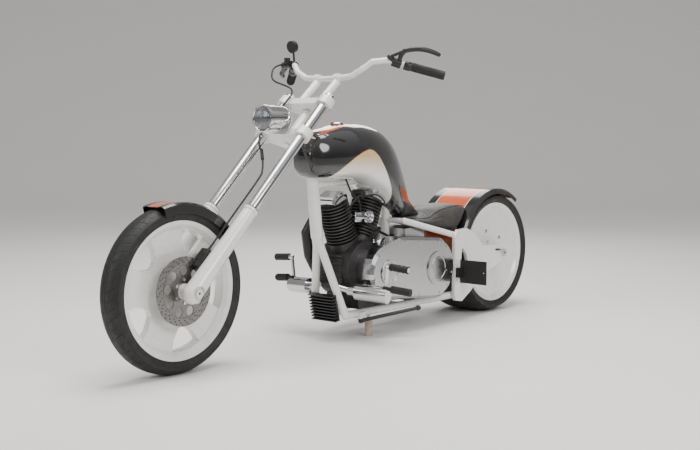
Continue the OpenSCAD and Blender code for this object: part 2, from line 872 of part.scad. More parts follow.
// clutch perch and its arched lever with a ball end
module clutch_lever() {
    color(black) difference() {
        union() {
            rod(perch - [14, 14, -7], perch + [14, 14, -7], 21, 48);
            rod(perch, perch + [-12, -34, 26], 12);
            ball(perch + [-12, -34, 26], 12.2);
            cone_rod(perch + [-12, -34, 26], [372, -18, 1348], 8, 7);
            cone_rod([372, -18, 1348], [430, 40, 1352], 7, 6);
            cone_rod([430, 40, 1352], [472, 96, 1330], 6, 5);
            ball([372, -18, 1348], 7.3);
            ball([430, 40, 1352], 6.3);
            ball([472, 96, 1330], 9);
        }
        chain([bar_pts[4], bar_pts[5], bar_pts[6], bar_pts[7]], bar_r + seat_gap);
        rod(grip_a, grip_b, grip_r + seat_gap, 48);
    }
}

// brake master cylinder on the right with its lever
module brake_lever() {
    q = [-perch[0], perch[1], perch[2]];
    color(black) difference() {
        union() {
            rod(q - [-14, 14, -7], q + [-14, 14, -7], 21, 48);
            rod(q + [20, -40, 16], q + [-44, -28, 12], 17, 48);
            rod(q, q + [-12, -32, 14], 13);
            rod(q + [-14, -34, 12], q + [-14, -34, 48], 15, 48);
            cone_rod(q + [-44, -28, 12], [-440, 24, 1274], 9, 6);
            cone_rod([-440, 24, 1274], [-478, 72, 1262], 6, 5);
            ball([-440, 24, 1274], 6.2);
            ball([-478, 72, 1262], 9);
        }
        chain([for (i = [4 : 7]) [-bar_pts[i][0], bar_pts[i][1], bar_pts[i][2]]],
            bar_r + seat_gap);
        rod([-grip_a[0], grip_a[1], grip_a[2]], [-grip_b[0], grip_b[1], grip_b[2]],
            grip_r + seat_gap, 48);
    }
}

// small round mirror on a stalk, on the right
module mirror_unit() {
    color(black) difference() {
        union() {
            rod([-287, -47, 1318], [-297, -44, 1384], 5.5);
            rod([-297, -58, 1392], [-297, -40, 1396], 30, 64);
            rod([-270, -62, 1302], [-284, -49.5, 1305], 19, 48);
            rod([-278, -56, 1304], [-287, -47, 1320], 7);
        }
        chain([for (i = [3 : 6]) [-bar_pts[i][0], bar_pts[i][1], bar_pts[i][2]]],
            bar_r + seat_gap);
    }
}

// ---------- front fender, caliper and hose ----------

ff_half = front_tyre_w / 2 + 9;
ff_r = front_tyre_r + 14;
ff_profile = [[front_tyre_r - 32, ff_half], [ff_r - 8, ff_half], [ff_r, ff_half - 9],
    [ff_r, 9 - ff_half], [ff_r - 8, -ff_half], [front_tyre_r - 32, -ff_half],
    [front_tyre_r - 32, 3 - ff_half], [ff_r - 11, 3 - ff_half], [ff_r - 3, 11 - ff_half],
    [ff_r - 3, ff_half - 11], [ff_r - 11, ff_half - 3], [front_tyre_r - 32, ff_half - 3]];

module front_fender() {
    tab = fork(0, 0, front_tyre_r - 12);
    color(black) difference() {
        union() {
            xarc(yf, zf, ff_profile, 30, 106, 160);
            for (k = [0, 1]) mirror([k, 0, 0])
                xcyl(tab[1], tab[2], ff_half - 1, fork_half, 13, 48);
        }
        for (k = [-1, 1]) leg_solid(k, seat_gap);
        for (k = [-1, 1]) xcyl(tab[1], tab[2], k > 0 ? fork_half - 20 : -fork_half - 30,
            k > 0 ? fork_half + 30 : -fork_half + 20, 20, 48);
    }
}

rotor_x = 62;

module front_caliper() {
    color(black) difference() {
        in_fork() rotate([0, 0, 0]) translate([50, -42, 104]) cube([fork_half - 72, 84, 92]);
        leg_solid(1, seat_gap);
        xcyl(yf, zf, rotor_x - 2, rotor_x + 7, rotor_r + 5, 96);
        xcyl(yf, zf, 40, 120, 102, 96);
    }
}

// brake hose from the master cylinder down to the front caliper
hose_pts = [[-330, -68, 1308], [-330, -100, 1306], [-290, -190, 1280], [-196, -286, 1222],
    fork(-90, -36, 1150), fork(-90, -36, 860), fork(0, -30, 760), fork(77, -28, 640),
    fork(77, -28, 196 + seat_gap)];

module brake_hose() {
    color(rubber) union() {
        for (i = [0 : len(hose_pts) - 2]) rod(hose_pts[i], hose_pts[i + 1], 4.5, 24);
        for (i = [1 : len(hose_pts) - 2]) ball(hose_pts[i], 5, 24);
    }
}

// ---------- wheels ----------

front_hub_r = 33;
front_hub_half = boss_in - 0.3;

module wheel_barrel(y, z, r, half, deep) {
    xspin(y, z, [[r - 17, half - 2], [r, half + 4], [r, half - 3], [r - 14, half - 9],
        [r - deep, half - 26], [r - deep, 26 - half], [r - 14, 9 - half], [r, 3 - half],
        [r, -half - 4], [r - 17, 2 - half], [r - deep - 7, 20 - half],
        [r - deep - 7, half - 20]], 160);
}

module front_rim() {
    color(white) difference() {
        union() {
            wheel_barrel(yf, zf, front_rim_r, 43, 28);
            xspin(yf, zf, [[front_hub_r - 8, 16], [60, 20], [150, 14], [front_rim_r - 32, 18],
                [front_rim_r - 32, -18], [150, -14], [60, -20], [front_hub_r - 8, -16]], 160);
            xcyl(yf, zf, -front_hub_half, front_hub_half, front_hub_r);
        }
        xcyl(yf, zf, -120, 120, front_axle_r + run_gap);
        for (i = [0 : 4]) translate([0, yf, zf]) rotate([i * 72 + 137, 0, 0])
            translate([-60, 0, 0]) rotate([90, 0, 90]) linear_extrude(height = 120)
                polygon(spoke_window);
    }
}

spoke_window = [for (a = [-17 : 3.4 : 17.1]) [252 * cos(a), 252 * sin(a)],
    [196, 54], [158, 20], [152, 0], [158, -20], [196, -54]];

// height and place of the crown at step i of 8 from the flat band (0) to the shoulder (8)
function crown_point(i, side, rt, wt, crown, flat) =
    [rt - crown * pow(i / 8, 2.4), side * (flat + (wt / 2 - 4 - flat) * i / 8)];

module tyre_outline_spin(y, z, rt, rr, wt, half, crown, flat) {
    xspin(y, z, concat([[rr - 13.6, half - 9.6], [rr + 0.4, half - 3.4], [rr + 0.4, half + 4.6],
        [rr + (rt - rr) * 0.35, wt / 2 - 1], [rr + (rt - rr) * 0.6, wt / 2]],
        [for (i = [8 : -1 : 0]) crown_point(i, 1, rt, wt, crown, flat)],
        [for (i = [0 : 8]) crown_point(i, -1, rt, wt, crown, flat)],
        [[rr + (rt - rr) * 0.6, -wt / 2], [rr + (rt - rr) * 0.35, 1 - wt / 2],
        [rr + 0.4, -half - 4.6], [rr + 0.4, 3.4 - half], [rr - 13.6, 9.6 - half],
        [rr - 11, 0]]), 160);
}

module front_tyre() {
    color(rubber)
        tyre_outline_spin(yf, zf, front_tyre_r, front_rim_r, front_tyre_w, 43, 24, front_tread_flat);
}

module rear_tyre() {
    color(rubber)
        tyre_outline_spin(yr, zr, rear_tyre_r, rear_rim_r, rear_tyre_w, rear_half, 22,
            rear_tread_flat);
}

module front_rotor() {
    color(steel) difference() {
        union() {
            xcyl(yf, zf, rotor_x, rotor_x + 5, rotor_r, 128);
        }
        xcyl(yf, zf, 40, 80, front_hub_r + seat_gap);
        for (i = [0 : 8]) translate([0, yf, zf]) rotate([i * 40, 0, 0])
            xcyl(0, rotor_r - 56, 40, 80, 19, 48);
    }
}

rear_half = 134;
rear_hub_r = 40;
rear_hub_half = plate_in - 0.4;

module rear_rim() {
    color(white) difference() {
        union() {
            wheel_barrel(yr, zr, rear_rim_r, rear_half, 26);
            xspin(yr, zr, [[rear_hub_r - 6, 104], [80, 104], [rear_rim_r - 28, 118],
                [rear_rim_r - 28, 106], [80, 90], [rear_hub_r - 6, 88]], 160);
            xspin(yr, zr, [[rear_hub_r - 6, -88], [80, -90], [rear_rim_r - 28, -106],
                [rear_rim_r - 28, -118], [80, -104], [rear_hub_r - 6, -104]], 160);
            xcyl(yr, zr, -rear_hub_half, rear_hub_half, rear_hub_r);
        }
        xcyl(yr, zr, -300, 300, rear_axle_r + run_gap);
        for (i = [0 : 4]) translate([0, yr, zr]) rotate([i * 72 + 18, 0, 0])
            translate([0, 0, 118]) xcyl(0, 0, -130, 130, 11, 32);
    }
}

// toothed rear pulley and the brake rotor beside it
module rear_pulley() {
    color(steel) difference() {
        union() {
            xcyl(yr, zr, belt_x0, belt_x1 + 0.5, pulley_r, 128);
            xcyl(yr, zr, rear_rotor_x, rear_rotor_x + 5, rear_rotor_r, 128);
            xcyl(yr, zr, belt_x1, rear_rotor_x + 5, 66, 96);
        }
        xcyl(yr, zr, -200, -100, rear_hub_r + seat_gap);
    }
}

frame_neck();
frame_backbone();
frame_downtubes();
frame_lower_rails();
frame_upper_rails();
frame_plates();
tank();
seat();
rear_fender();
oil_tank();
crankcase();
cylinders();
rocker_boxes();
carburettor();
primary_cover();
transmission();
exhaust_pipes();
regulator();
foot_controls();
foot_pegs();
plate_bracket();
prop_post();
rear_axle();
rear_caliper();
drive_belt();
fork_clamps();
steering_stem();
fork_tubes();
fork_legs();
front_axle();
headlamp();
handlebar();
grips();
clutch_lever();
brake_lever();
mirror_unit();  // mirror
front_fender();
front_caliper();
brake_hose();
front_rim();
front_tyre();
front_rotor();
rear_rim();
rear_tyre();
rear_pulley();
side_stand();
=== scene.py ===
"""Finish of the long-fork chopper: paint, chrome, cast metal, rubber, leather and trim."""
import math
import bmesh
import bpy
from bpy.props import FloatProperty, FloatVectorProperty, IntProperty, PointerProperty
from mathutils import Matrix, Vector


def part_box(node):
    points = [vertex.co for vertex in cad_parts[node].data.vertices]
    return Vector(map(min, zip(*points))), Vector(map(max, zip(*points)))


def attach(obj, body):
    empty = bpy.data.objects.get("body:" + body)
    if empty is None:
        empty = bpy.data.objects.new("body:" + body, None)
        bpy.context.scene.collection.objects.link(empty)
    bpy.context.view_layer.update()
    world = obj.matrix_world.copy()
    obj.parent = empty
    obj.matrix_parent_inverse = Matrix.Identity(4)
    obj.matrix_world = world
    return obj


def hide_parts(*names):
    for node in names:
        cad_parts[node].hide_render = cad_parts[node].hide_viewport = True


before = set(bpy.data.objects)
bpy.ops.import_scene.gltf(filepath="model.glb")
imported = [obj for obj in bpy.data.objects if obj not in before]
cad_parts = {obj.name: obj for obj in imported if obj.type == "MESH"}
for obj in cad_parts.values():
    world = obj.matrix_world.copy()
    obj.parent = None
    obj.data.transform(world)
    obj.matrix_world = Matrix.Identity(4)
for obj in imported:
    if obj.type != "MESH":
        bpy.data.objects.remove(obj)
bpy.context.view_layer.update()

bl_info = {
    "name": "Chopper Finish",
    "version": (1, 0, 0),
    "blender": (4, 5, 0),
    "location": "View3D > Sidebar > Chopper",
    "description": "Builds the finish and trim of a long-fork chopper motorcycle",
    "category": "Object",
}


def mid(node):
    """Centre of a part's box."""
    low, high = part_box(node)
    return (Vector(low) + Vector(high)) / 2


FRONT_AXLE = mid("front_tyre")
REAR_AXLE = mid("rear_tyre")
RAKE = math.radians(46)
SIDES = (-1, 1)  # right, left
LEFT, RIGHT = (1, 0, 0), (-1, 0, 0)
LEG_X = 120.5  # fork leg from the middle, mm
LAMP_Z = 1.042
CRANK = Vector((0, 0.036, 0.330))
CYLINDER_LEAN = math.radians(22.5)
DRIVE_SPROCKET = (0.085, 0.318)  # y, z
CLUTCH = (0.475, 0.302)  # y, z
AIR_INTAKE = (0.036, 0.580)  # y, z
FORK_UP = Vector((0, math.sin(RAKE), math.cos(RAKE)))
FORK_BACK = Vector((0, math.cos(RAKE), -math.sin(RAKE)))


def fork(x, n, s):
    """Point in the fork's own frame, in millimetres: across, behind the legs, up along them."""
    base = Vector((x / 1000, FRONT_AXLE.y, FRONT_AXLE.z))
    return base + FORK_BACK * (n / 1000) + FORK_UP * (s / 1000)


# ---------------------------------------------------------------- settings

def colour(name, text, value):
    return FloatVectorProperty(name=name, description=text, subtype="COLOR", size=3,
                               min=0, max=1, default=value)


def length(name, text, value, low=0.0, high=1.0):
    return FloatProperty(name=name, description=text, unit="LENGTH", default=value,
                         min=low, max=high)


class PaintSettings(bpy.types.PropertyGroup):
    white: colour("White", "Paint of the frame, fork and wheels", (0.80, 0.79, 0.765))
    black: colour("Black", "Paint of the tank and fenders", (0.010, 0.010, 0.011))
    orange: colour("Orange", "Colour of the bands", (0.60, 0.105, 0.030))
    beige: colour("Beige", "Upper colour of the side panel", (0.62, 0.44, 0.22))
    edge: colour("Panel edge", "Line round the side panel", (0.07, 0.03, 0.015))


class MetalSettings(bpy.types.PropertyGroup):
    chrome: colour("Chrome", "Plated parts", (0.66, 0.66, 0.67))
    cast: colour("Cast metal", "Engine castings", (0.055, 0.052, 0.052))
    polished: colour("Polished metal", "Primary cover and oil tank", (0.50, 0.50, 0.51))
    steel: colour("Steel", "Brake rotors and pulley", (0.20, 0.195, 0.19))
    bolt: length("Bolt", "Radius of the small bolt heads", 0.0055, 0.002, 0.02)


class SoftSettings(bpy.types.PropertyGroup):
    leather: colour("Leather", "Seat cover", (0.014, 0.012, 0.011))
    rubber: colour("Rubber", "Tyres, grips and hose", (0.0054, 0.0054, 0.0054))
    puff: length("Seat puff", "Most that the seat's cover may rise", 0.008, 0.0, 0.03)
    grooves: IntProperty(name="Tread grooves", description="Grooves round each tyre",
                         default=56, min=20, max=90)


class StudioSettings(bpy.types.PropertyGroup):
    floor: colour("Floor", "Colour of the studio floor", (0.80, 0.785, 0.77))
    lens: FloatProperty(name="Lens", description="Focal length of the camera, in millimetres",
                        default=56.4, min=20, max=200)


# ---------------------------------------------------------------- materials

class Tree:
    """Short way to add and join shader nodes."""

    def __init__(self, name):
        self.mat = bpy.data.materials.new(name)
        self.mat.use_nodes = True
        self.nodes = self.mat.node_tree.nodes
        self.links = self.mat.node_tree.links
        self.shader = self.nodes["Principled BSDF"]
        self.coord = self.add("ShaderNodeTexCoord").outputs["Object"]

    def add(self, kind, **values):
        node = self.nodes.new(kind)
        for key, value in values.items():
            setattr(node, key, value)
        return node

    def put(self, socket, value):
        if isinstance(value, bpy.types.NodeSocket):
            self.links.new(value, socket)
        elif value is not None:
            socket.default_value = value

    def calc(self, op, a, b=None, c=None):
        node = self.add("ShaderNodeMath", operation=op)
        for socket, value in zip(node.inputs, (a, b, c)):
            self.put(socket, value)
        return node.outputs[0]

    def times(self, a, b):
        return self.calc("MULTIPLY", a, b)

    def axes(self):
        node = self.add("ShaderNodeSeparateXYZ")
        self.put(node.inputs[0], self.coord)
        return node.outputs[0], node.outputs[1], node.outputs[2]

    def noise(self, scale, detail=4.0, rough=0.5, stretch=(1, 1, 1)):
        vector = self.coord
        if stretch != (1, 1, 1):
            mapping = self.add("ShaderNodeMapping")
            mapping.inputs["Scale"].default_value = stretch
            self.put(mapping.inputs["Vector"], vector)
            vector = mapping.outputs[0]
        node = self.add("ShaderNodeTexNoise")
        self.put(node.inputs["Vector"], vector)
        node.inputs["Scale"].default_value = scale
        node.inputs["Detail"].default_value = detail
        node.inputs["Roughness"].default_value = rough
        return node.outputs[0]

    def span(self, value, a, b, low=0.0, high=1.0):
        node = self.add("ShaderNodeMapRange", clamp=True)
        for key, v in zip(("Value", "From Min", "From Max", "To Min", "To Max"),
                          (value, a, b, low, high)):
            self.put(node.inputs[key], v)
        return node.outputs[0]

    def patches(self, scale, detail, low=0.0, high=1.0):
        """Uneven value between low and high."""
        return self.span(self.noise(scale, detail), 0.3, 0.7, low, high)

    def mix(self, factor, a, b):
        node = self.add("ShaderNodeMix", data_type="RGBA")
        sockets = [s for s in node.inputs if s.enabled]
        for socket, value in zip(sockets, (factor, a, b)):
            if isinstance(value, (tuple, list)) and len(value) == 3:
                value = (*value, 1.0)
            self.put(socket, value)
        return [s for s in node.outputs if s.enabled][0]

    def bump(self, height, strength=0.3, distance=0.001, over=None):
        node = self.add("ShaderNodeBump")
        node.inputs["Strength"].default_value = strength
        node.inputs["Distance"].default_value = distance
        self.put(node.inputs["Height"], height)
        if over is not None:
            self.links.new(over, node.inputs["Normal"])
        return node.outputs[0]

    def finish(self, base, rough, normal=None, **values):
        if isinstance(base, (tuple, list)):
            base = (*tuple(base)[:3], 1.0)
        self.put(self.shader.inputs["Base Color"], base)
        self.put(self.shader.inputs["Roughness"], rough)
        if normal is not None:
            self.links.new(normal, self.shader.inputs["Normal"])
        for key, value in values.items():
            self.shader.inputs[key.replace("_", " ")].default_value = value
        return self.mat


MATS = {}


def shade(base, share):
    return tuple(c * share for c in base)


def gloss_paint(name, base, dust=0.06):
    t = Tree(name)
    base = tuple(base)
    tone = t.patches(9, 3)
    tinted = t.mix(tone, shade(base, 1 - dust), base)
    rough = t.patches(38, 4, 0.20, 0.32)
    peel = t.bump(t.noise(900, 2), 0.05, 0.0004)
    return t.finish(tinted, rough, peel, Coat_Weight=0.9, Coat_Roughness=0.06)


def plated(name, base, low=0.05, high=0.14):
    t = Tree(name)
    rough = t.span(t.noise(46, 5, 0.6), 0.35, 0.75, low, high)
    tone = t.mix(t.noise(20, 3), shade(base, 0.93), tuple(base))
    swirl = t.bump(t.noise(1400, 2), 0.03, 0.0003)
    return t.finish(tone, rough, swirl, Metallic=1.0)


def cast_metal(name, base, grain=260, rough=(0.38, 0.62)):
    t = Tree(name)
    pores = t.noise(grain, 5, 0.6)
    tone = t.mix(t.span(t.noise(14, 4), 0.35, 0.7), shade(base, 0.75),
                 tuple(min(1, c * 1.25) for c in base))
    return t.finish(tone, t.patches(30, 4, *rough),
                    t.bump(pores, 0.35, 0.0006), Metallic=0.75)


def brushed_metal(name, base):
    t = Tree(name)
    lines = t.noise(60, 4, 0.6, (1, 1, 60))
    tone = t.mix(lines, shade(base, 0.85), tuple(base))
    return t.finish(tone, t.span(lines, 0.3, 0.7, 0.16, 0.30), t.bump(lines, 0.10, 0.0003),
                    Metallic=1.0)


def soft_rubber(name, base, rough=0.62):
    t = Tree(name)
    grain = t.noise(700, 3)
    tone = t.mix(t.span(t.noise(16, 5), 0.35, 0.7), tuple(base), shade(base, 1.9))
    return t.finish(tone, t.patches(40, 4, rough - 0.1, rough + 0.12),
                    t.bump(grain, 0.25, 0.0004))


def leather(name, base):
    t = Tree(name)
    cells = t.add("ShaderNodeTexVoronoi", feature="DISTANCE_TO_EDGE")
    t.put(cells.inputs["Vector"], t.coord)
    cells.inputs["Scale"].default_value = 330
    crease = t.span(cells.outputs["Distance"], 0.0, 0.12)
    fold = t.bump(t.noise(24, 4), 0.25, 0.003)
    grain = t.bump(crease, 0.45, 0.0005, fold)
    tone = t.mix(t.span(t.noise(12, 4), 0.4, 0.7), tuple(base), shade(base, 2.4))
    return t.finish(tone, t.patches(60, 3, 0.38, 0.55), grain,
                    Sheen_Weight=0.15, Sheen_Roughness=0.5)


def band_mask(t, value, low, high, soft=0.0015):
    """1 between low and high, with soft edges."""
    a = t.span(value, low - soft, low + soft)
    b = t.span(value, high - soft, high + soft, 1.0, 0.0)
    return t.times(a, b)


def tank_paint(name, p):
    """Black with an orange band on top and a beige side panel that fades to white."""
    t = Tree(name)
    x, y, z = t.axes()
    curve = t.add("ShaderNodeFloatCurve")
    line = curve.mapping.curves[0].points
    while len(line) < len(PANEL_EDGE):
        line.new(0.5, 0.5)
    for spot, (py, pz) in zip(line, PANEL_EDGE):
        spot.location = ((py + 0.23) / 0.50, (pz - 0.50) / 0.50)
    curve.mapping.update()
    t.put(curve.inputs["Value"], t.span(y, -0.23, 0.27))
    edge = t.calc("MULTIPLY_ADD", curve.outputs[0], 0.50, 0.50)
    below = t.calc("SUBTRACT", edge, z)
    panel = t.times(t.span(below, -0.001, 0.001), band_mask(t, y, -0.222, 0.262))
    rim = t.times(band_mask(t, below, -0.002, 0.006), band_mask(t, y, -0.226, 0.264))
    fade = t.mix(t.span(z, 0.775, 0.875), tuple(p.white), tuple(p.beige))
    side = t.calc("ABSOLUTE", x)
    top = t.times(band_mask(t, side, -0.01, 0.064, 0.001), band_mask(t, y, -0.235, 0.19))
    top = t.times(top, t.span(z, 0.90, 0.902))
    flake = t.mix(t.patches(11, 3), tuple(p.black),
                  shade(p.black, 1.7))
    warm = t.mix(t.noise(10, 3), shade(p.orange, 0.85), tuple(p.orange))
    tone = t.mix(top, flake, warm)
    tone = t.mix(panel, tone, fade)
    tone = t.mix(rim, tone, tuple(p.edge))
    rough = t.patches(30, 4, 0.10, 0.18)
    return t.finish(tone, rough, t.bump(t.noise(900, 2), 0.04, 0.0004),
                    Coat_Weight=1.0, Coat_Roughness=0.03)


def fender_paint(name, p, half, line):
    """Black sides, an orange middle band and a white line between them."""
    t = Tree(name)
    side = t.calc("ABSOLUTE", t.axes()[0])
    inner = band_mask(t, side, -0.01, half, 0.0008)
    pin = band_mask(t, side, half, half + line, 0.0006)
    warm = t.mix(t.noise(10, 3), shade(p.orange, 0.85), tuple(p.orange))
    tone = t.mix(inner, tuple(p.black), warm)
    tone = t.mix(pin, tone, tuple(p.white))
    return t.finish(tone, t.patches(30, 4, 0.12, 0.2),
                    t.bump(t.noise(900, 2), 0.04, 0.0004), Coat_Weight=0.35, Coat_Roughness=0.10)


def tyre_rubber(name, base, centre, shoulder, grooves, half):
    """Rubber with angled grooves round the tread, painted shade in the grooves, and fine rings on the
    walls.
    """
    t = Tree(name)
    x, y, z = t.axes()
    dy = t.calc("SUBTRACT", y, centre.y)
    dz = t.calc("SUBTRACT", z, centre.z)
    turn = t.calc("DIVIDE", t.calc("ARCTAN2", dz, dy), math.tau)
    reach = t.calc("SQRT", t.calc("ADD", t.times(dy, dy), t.times(dz, dz)))
    side = t.calc("ABSOLUTE", x)
    slant = t.calc("MULTIPLY_ADD", turn, grooves, t.times(side, 0.9 / half))
    saw = t.calc("ABSOLUTE", t.calc("SUBTRACT", t.calc("FRACT", slant), 0.5))
    cut = t.span(saw, 0.035, 0.07)
    reach_in = t.times(t.span(side, half * 0.20, half * 0.24),
                       t.span(side, half * 0.80, half * 0.86, 1.0, 0.0))
    on_tread = t.times(t.span(reach, shoulder, shoulder + 0.004), reach_in)
    groove = t.calc("SUBTRACT", 1.0, t.times(on_tread, t.calc("SUBTRACT", 1.0, cut)))
    centre_cut = t.span(t.calc("ABSOLUTE", t.calc("SUBTRACT", side, half * 0.12)), 0.0015, 0.003)
    keep = t.times(groove, centre_cut)
    rings = t.calc("SINE", t.times(reach, 1250.0))
    wall = t.times(t.span(rings, 0.7, 1.0), t.span(reach, shoulder - 0.006, shoulder, 1, 0))
    deep = t.bump(keep, 0.9, 0.004)
    fine = t.bump(wall, 0.35, 0.0006, deep)
    grain = t.bump(t.noise(650, 3), 0.2, 0.0004, fine)
    tone = t.mix(t.span(t.noise(18, 5), 0.35, 0.7), tuple(base), shade(base, 1.9))
    # the grooves are painted darker: painted shade in the grooves
    tone = t.mix(keep, shade(base, 0.35), tone)
    return t.finish(tone, t.patches(40, 4, 0.50, 0.72), grain)


def lamp_glass(name):
    t = Tree(name)
    flutes = t.calc("SINE", t.times(t.axes()[0], 900.0))
    tone = t.mix(t.noise(30, 2), (0.10, 0.11, 0.12), (0.22, 0.23, 0.25))
    return t.finish(tone, t.patches(50, 2, 0.03, 0.08), t.bump(flutes, 0.5, 0.0012),
                    Metallic=0.6, Coat_Weight=1.0, Coat_Roughness=0.02)


# upper edge of the tank's side panel: y, z
PANEL_EDGE = [(-0.23, 0.745), (-0.215, 0.770), (-0.175, 0.812), (-0.120, 0.850), (-0.074, 0.876),
              (-0.020, 0.898), (0.026, 0.905), (0.070, 0.885), (0.125, 0.830), (0.175, 0.765),
              (0.225, 0.700), (0.27, 0.620)]


def make_materials(scene):
    p, m, s = scene.chopper_paint, scene.chopper_metal, scene.chopper_soft
    MATS.update(
        white=gloss_paint("White enamel", p.white), black=gloss_paint("Black enamel", p.black),
        chrome=plated("Chrome plate", m.chrome), cast=cast_metal("Dark casting", m.cast),
        polished=plated("Polished cover", m.polished, 0.14, 0.26),
        satin=brushed_metal("Satin steel", m.steel),
        black_metal=cast_metal("Black coated metal", (0.016, 0.016, 0.017), 420, (0.30, 0.45)),
        rubber=soft_rubber("Moulded rubber", s.rubber), leather=leather("Black leather", s.leather),
        post=cast_metal("Post paint", (0.55, 0.44, 0.39), 200, (0.4, 0.6)),
        tank=tank_paint("Tank paint", p),
        rear_fender=fender_paint("Rear fender paint", p, 0.098, 0.004),
        front_fender=fender_paint("Front fender paint", p, 0.026, 0.0018),
        glass=lamp_glass("Lamp glass"),
        front_tyre=tyre_rubber("Front tyre rubber", s.rubber, FRONT_AXLE, 0.325,
                               s.grooves, 0.058),
        rear_tyre=tyre_rubber("Rear tyre rubber", s.rubber, REAR_AXLE, 0.306,
                              s.grooves, 0.150))
    for key, metallic in (("post", 0.0), ("black_metal", 0.2)):
        shader = MATS[key].node_tree.nodes["Principled BSDF"]
        shader.inputs["Metallic"].default_value = metallic


# ---------------------------------------------------------------- shapes

def mesh_piece(name, verts, faces, merge=True):
    """New object at the origin from points and faces, with its normals set outwards."""
    data = bpy.data.meshes.new(name)
    data.from_pydata([tuple(v) for v in verts], [], faces)
    work = bmesh.new()
    work.from_mesh(data)
    if merge:
        bmesh.ops.remove_doubles(work, verts=work.verts, dist=1e-6)
    bmesh.ops.recalc_face_normals(work, faces=work.faces)
    work.to_mesh(data)
    work.free()
    data.shade_smooth()
    piece = bpy.data.objects.new(name, data)
    bpy.context.collection.objects.link(piece)
    return piece


def settle(piece, body, material, replaces=(), sharp=None):
    """Gives a piece its material, its body and the parts that it stands for."""
    piece.data.materials.clear()
    piece.data.materials.append(MATS[material])
    if sharp is not None:
        piece.data.set_sharp_from_angle(angle=math.radians(sharp))
    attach(piece, body)
    if replaces:
        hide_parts(*replaces)
    return piece


def group_piece(name, parts, body, material, sharp=None):
    """One settled piece from several (points, faces) pairs."""
    return settle(mesh_piece(name, *join_meshes(parts)), body, material, sharp=sharp)


def round_piece(name, shape, body, material, sharp):
    """One settled piece from one (points, faces) pair."""
    return settle(mesh_piece(name, *shape), body, material, sharp=sharp)


def paint_node(node, material):
    """New finish on a part that keeps its shape."""
    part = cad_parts[node]
    for i in range(len(part.material_slots)):
        part.material_slots[i].material = MATS[material]


def join_meshes(parts):
    """(points, faces) of several (points, faces) pairs together."""
    verts, faces = [], []
    for points, loops in parts:
        start = len(verts)
        verts += list(points)
        faces += [[i + start for i in loop] for loop in loops]
    return verts, faces


def between(p, q, r, s, t):
    """Point at share t from q to r of a round curve through four points or numbers."""
    return 0.5 * ((2 * q) + (r - p) * t + (2 * p - 5 * q + 4 * r - s) * t * t
                  + (3 * q - p - 3 * r + s) * t ** 3)


def smooth_path(points, steps=8):
    """Round curve through the points."""
    pts = [Vector(p) for p in points]
    pts = [pts[0] * 2 - pts[1]] + pts + [pts[-1] * 2 - pts[-2]]
    out = []
    for i in range(1, len(pts) - 2):
        out += [between(*pts[i - 1:i + 3], k / steps) for k in range(steps)]
    return out + [pts[-2]]


def bands(rows, n):
    """Quads that join rows of n points into a closed tube."""
    return [[j * n + i, j * n + (i + 1) % n, (j + 1) * n + (i + 1) % n, (j + 1) * n + i]
            for j in range(rows - 1) for i in range(n)]


def tube(points, radius, sides=20):
    """(points, faces) of a closed tube; radius is a number or one for each point."""
    pts = [Vector(p) for p in points]
    radii = radius if isinstance(radius, (list, tuple)) else [radius] * len(pts)
    verts, side = [], None
    for i, p in enumerate(pts):
        d = (pts[min(i + 1, len(pts) - 1)] - pts[max(i - 1, 0)]).normalized()
        if side is None:
            side = d.orthogonal().normalized()
        side = (side - d * side.dot(d)).normalized()
        up = d.cross(side)
        for k in range(sides):
            a = math.tau * k / sides
            verts.append(p + (side * math.cos(a) + up * math.sin(a)) * radii[i])
    faces = bands(len(pts), sides)
    faces.append(list(range(sides))[::-1])
    faces.append([(len(pts) - 1) * sides + k for k in range(sides)])
    return verts, faces


def lathe(outline, origin, axis, sides=96):
    """(points, faces) of an outline of (radius, height) turned about an axis."""
    axis = Vector(axis).normalized()
    u = axis.orthogonal().normalized()
    v = axis.cross(u)
    origin = Vector(origin)
    verts = []
    for r, h in outline:
        for k in range(sides):
            a = math.tau * k / sides
            verts.append(origin + axis * h + (u * math.cos(a) + v * math.sin(a)) * max(r, 1e-5))
    faces = bands(len(outline), sides)
    if outline[0] == outline[-1]:
        return verts, faces
    if outline[0][0] > 1e-4:
        faces.append(list(range(sides))[::-1])
    if outline[-1][0] > 1e-4:
        faces.append([(len(outline) - 1) * sides + k for k in range(sides)])
    return verts, faces


def skin(rings):
    """(points, faces) of a closed skin over rings with the same number of points."""
    n, m = len(rings[0]), len(rings)
    verts = [p for ring in rings for p in ring]
    faces = bands(m, n) + [list(range(n))[::-1], [(m - 1) * n + i for i in range(n)]]
    return verts, faces


def power(v, e):
    return math.copysign(abs(v) ** e, v)


def section(y, low, high, half, middle, count, bend):
    """Ring across the machine, in metres from millimetres; bend rounds its top, foot and sides."""
    c = low + middle * (high - low)
    ring = []
    for i in range(count):
        a = math.tau * i / count
        if math.sin(a) >= 0:
            z = c + (high - c) * power(math.sin(a), bend[0])
        else:
            z = c + (c - low) * power(math.sin(a), bend[1])
        ring.append(Vector((half * power(math.cos(a), bend[2]), y, z)) / 1000)
    return ring


def table_rows(table, steps):
    """Rows of a table joined by a round curve, so the skin has no flat bands."""
    rows = []
    pts = [table[0]] + list(table) + [table[-1]]
    for i in range(1, len(pts) - 2):
        for k in range(steps):
            rows.append([between(*four, k / steps) for four in zip(*pts[i - 1:i + 3])])
    return rows + [list(table[-1])]


# ---------------------------------------------------------------- repeated trim

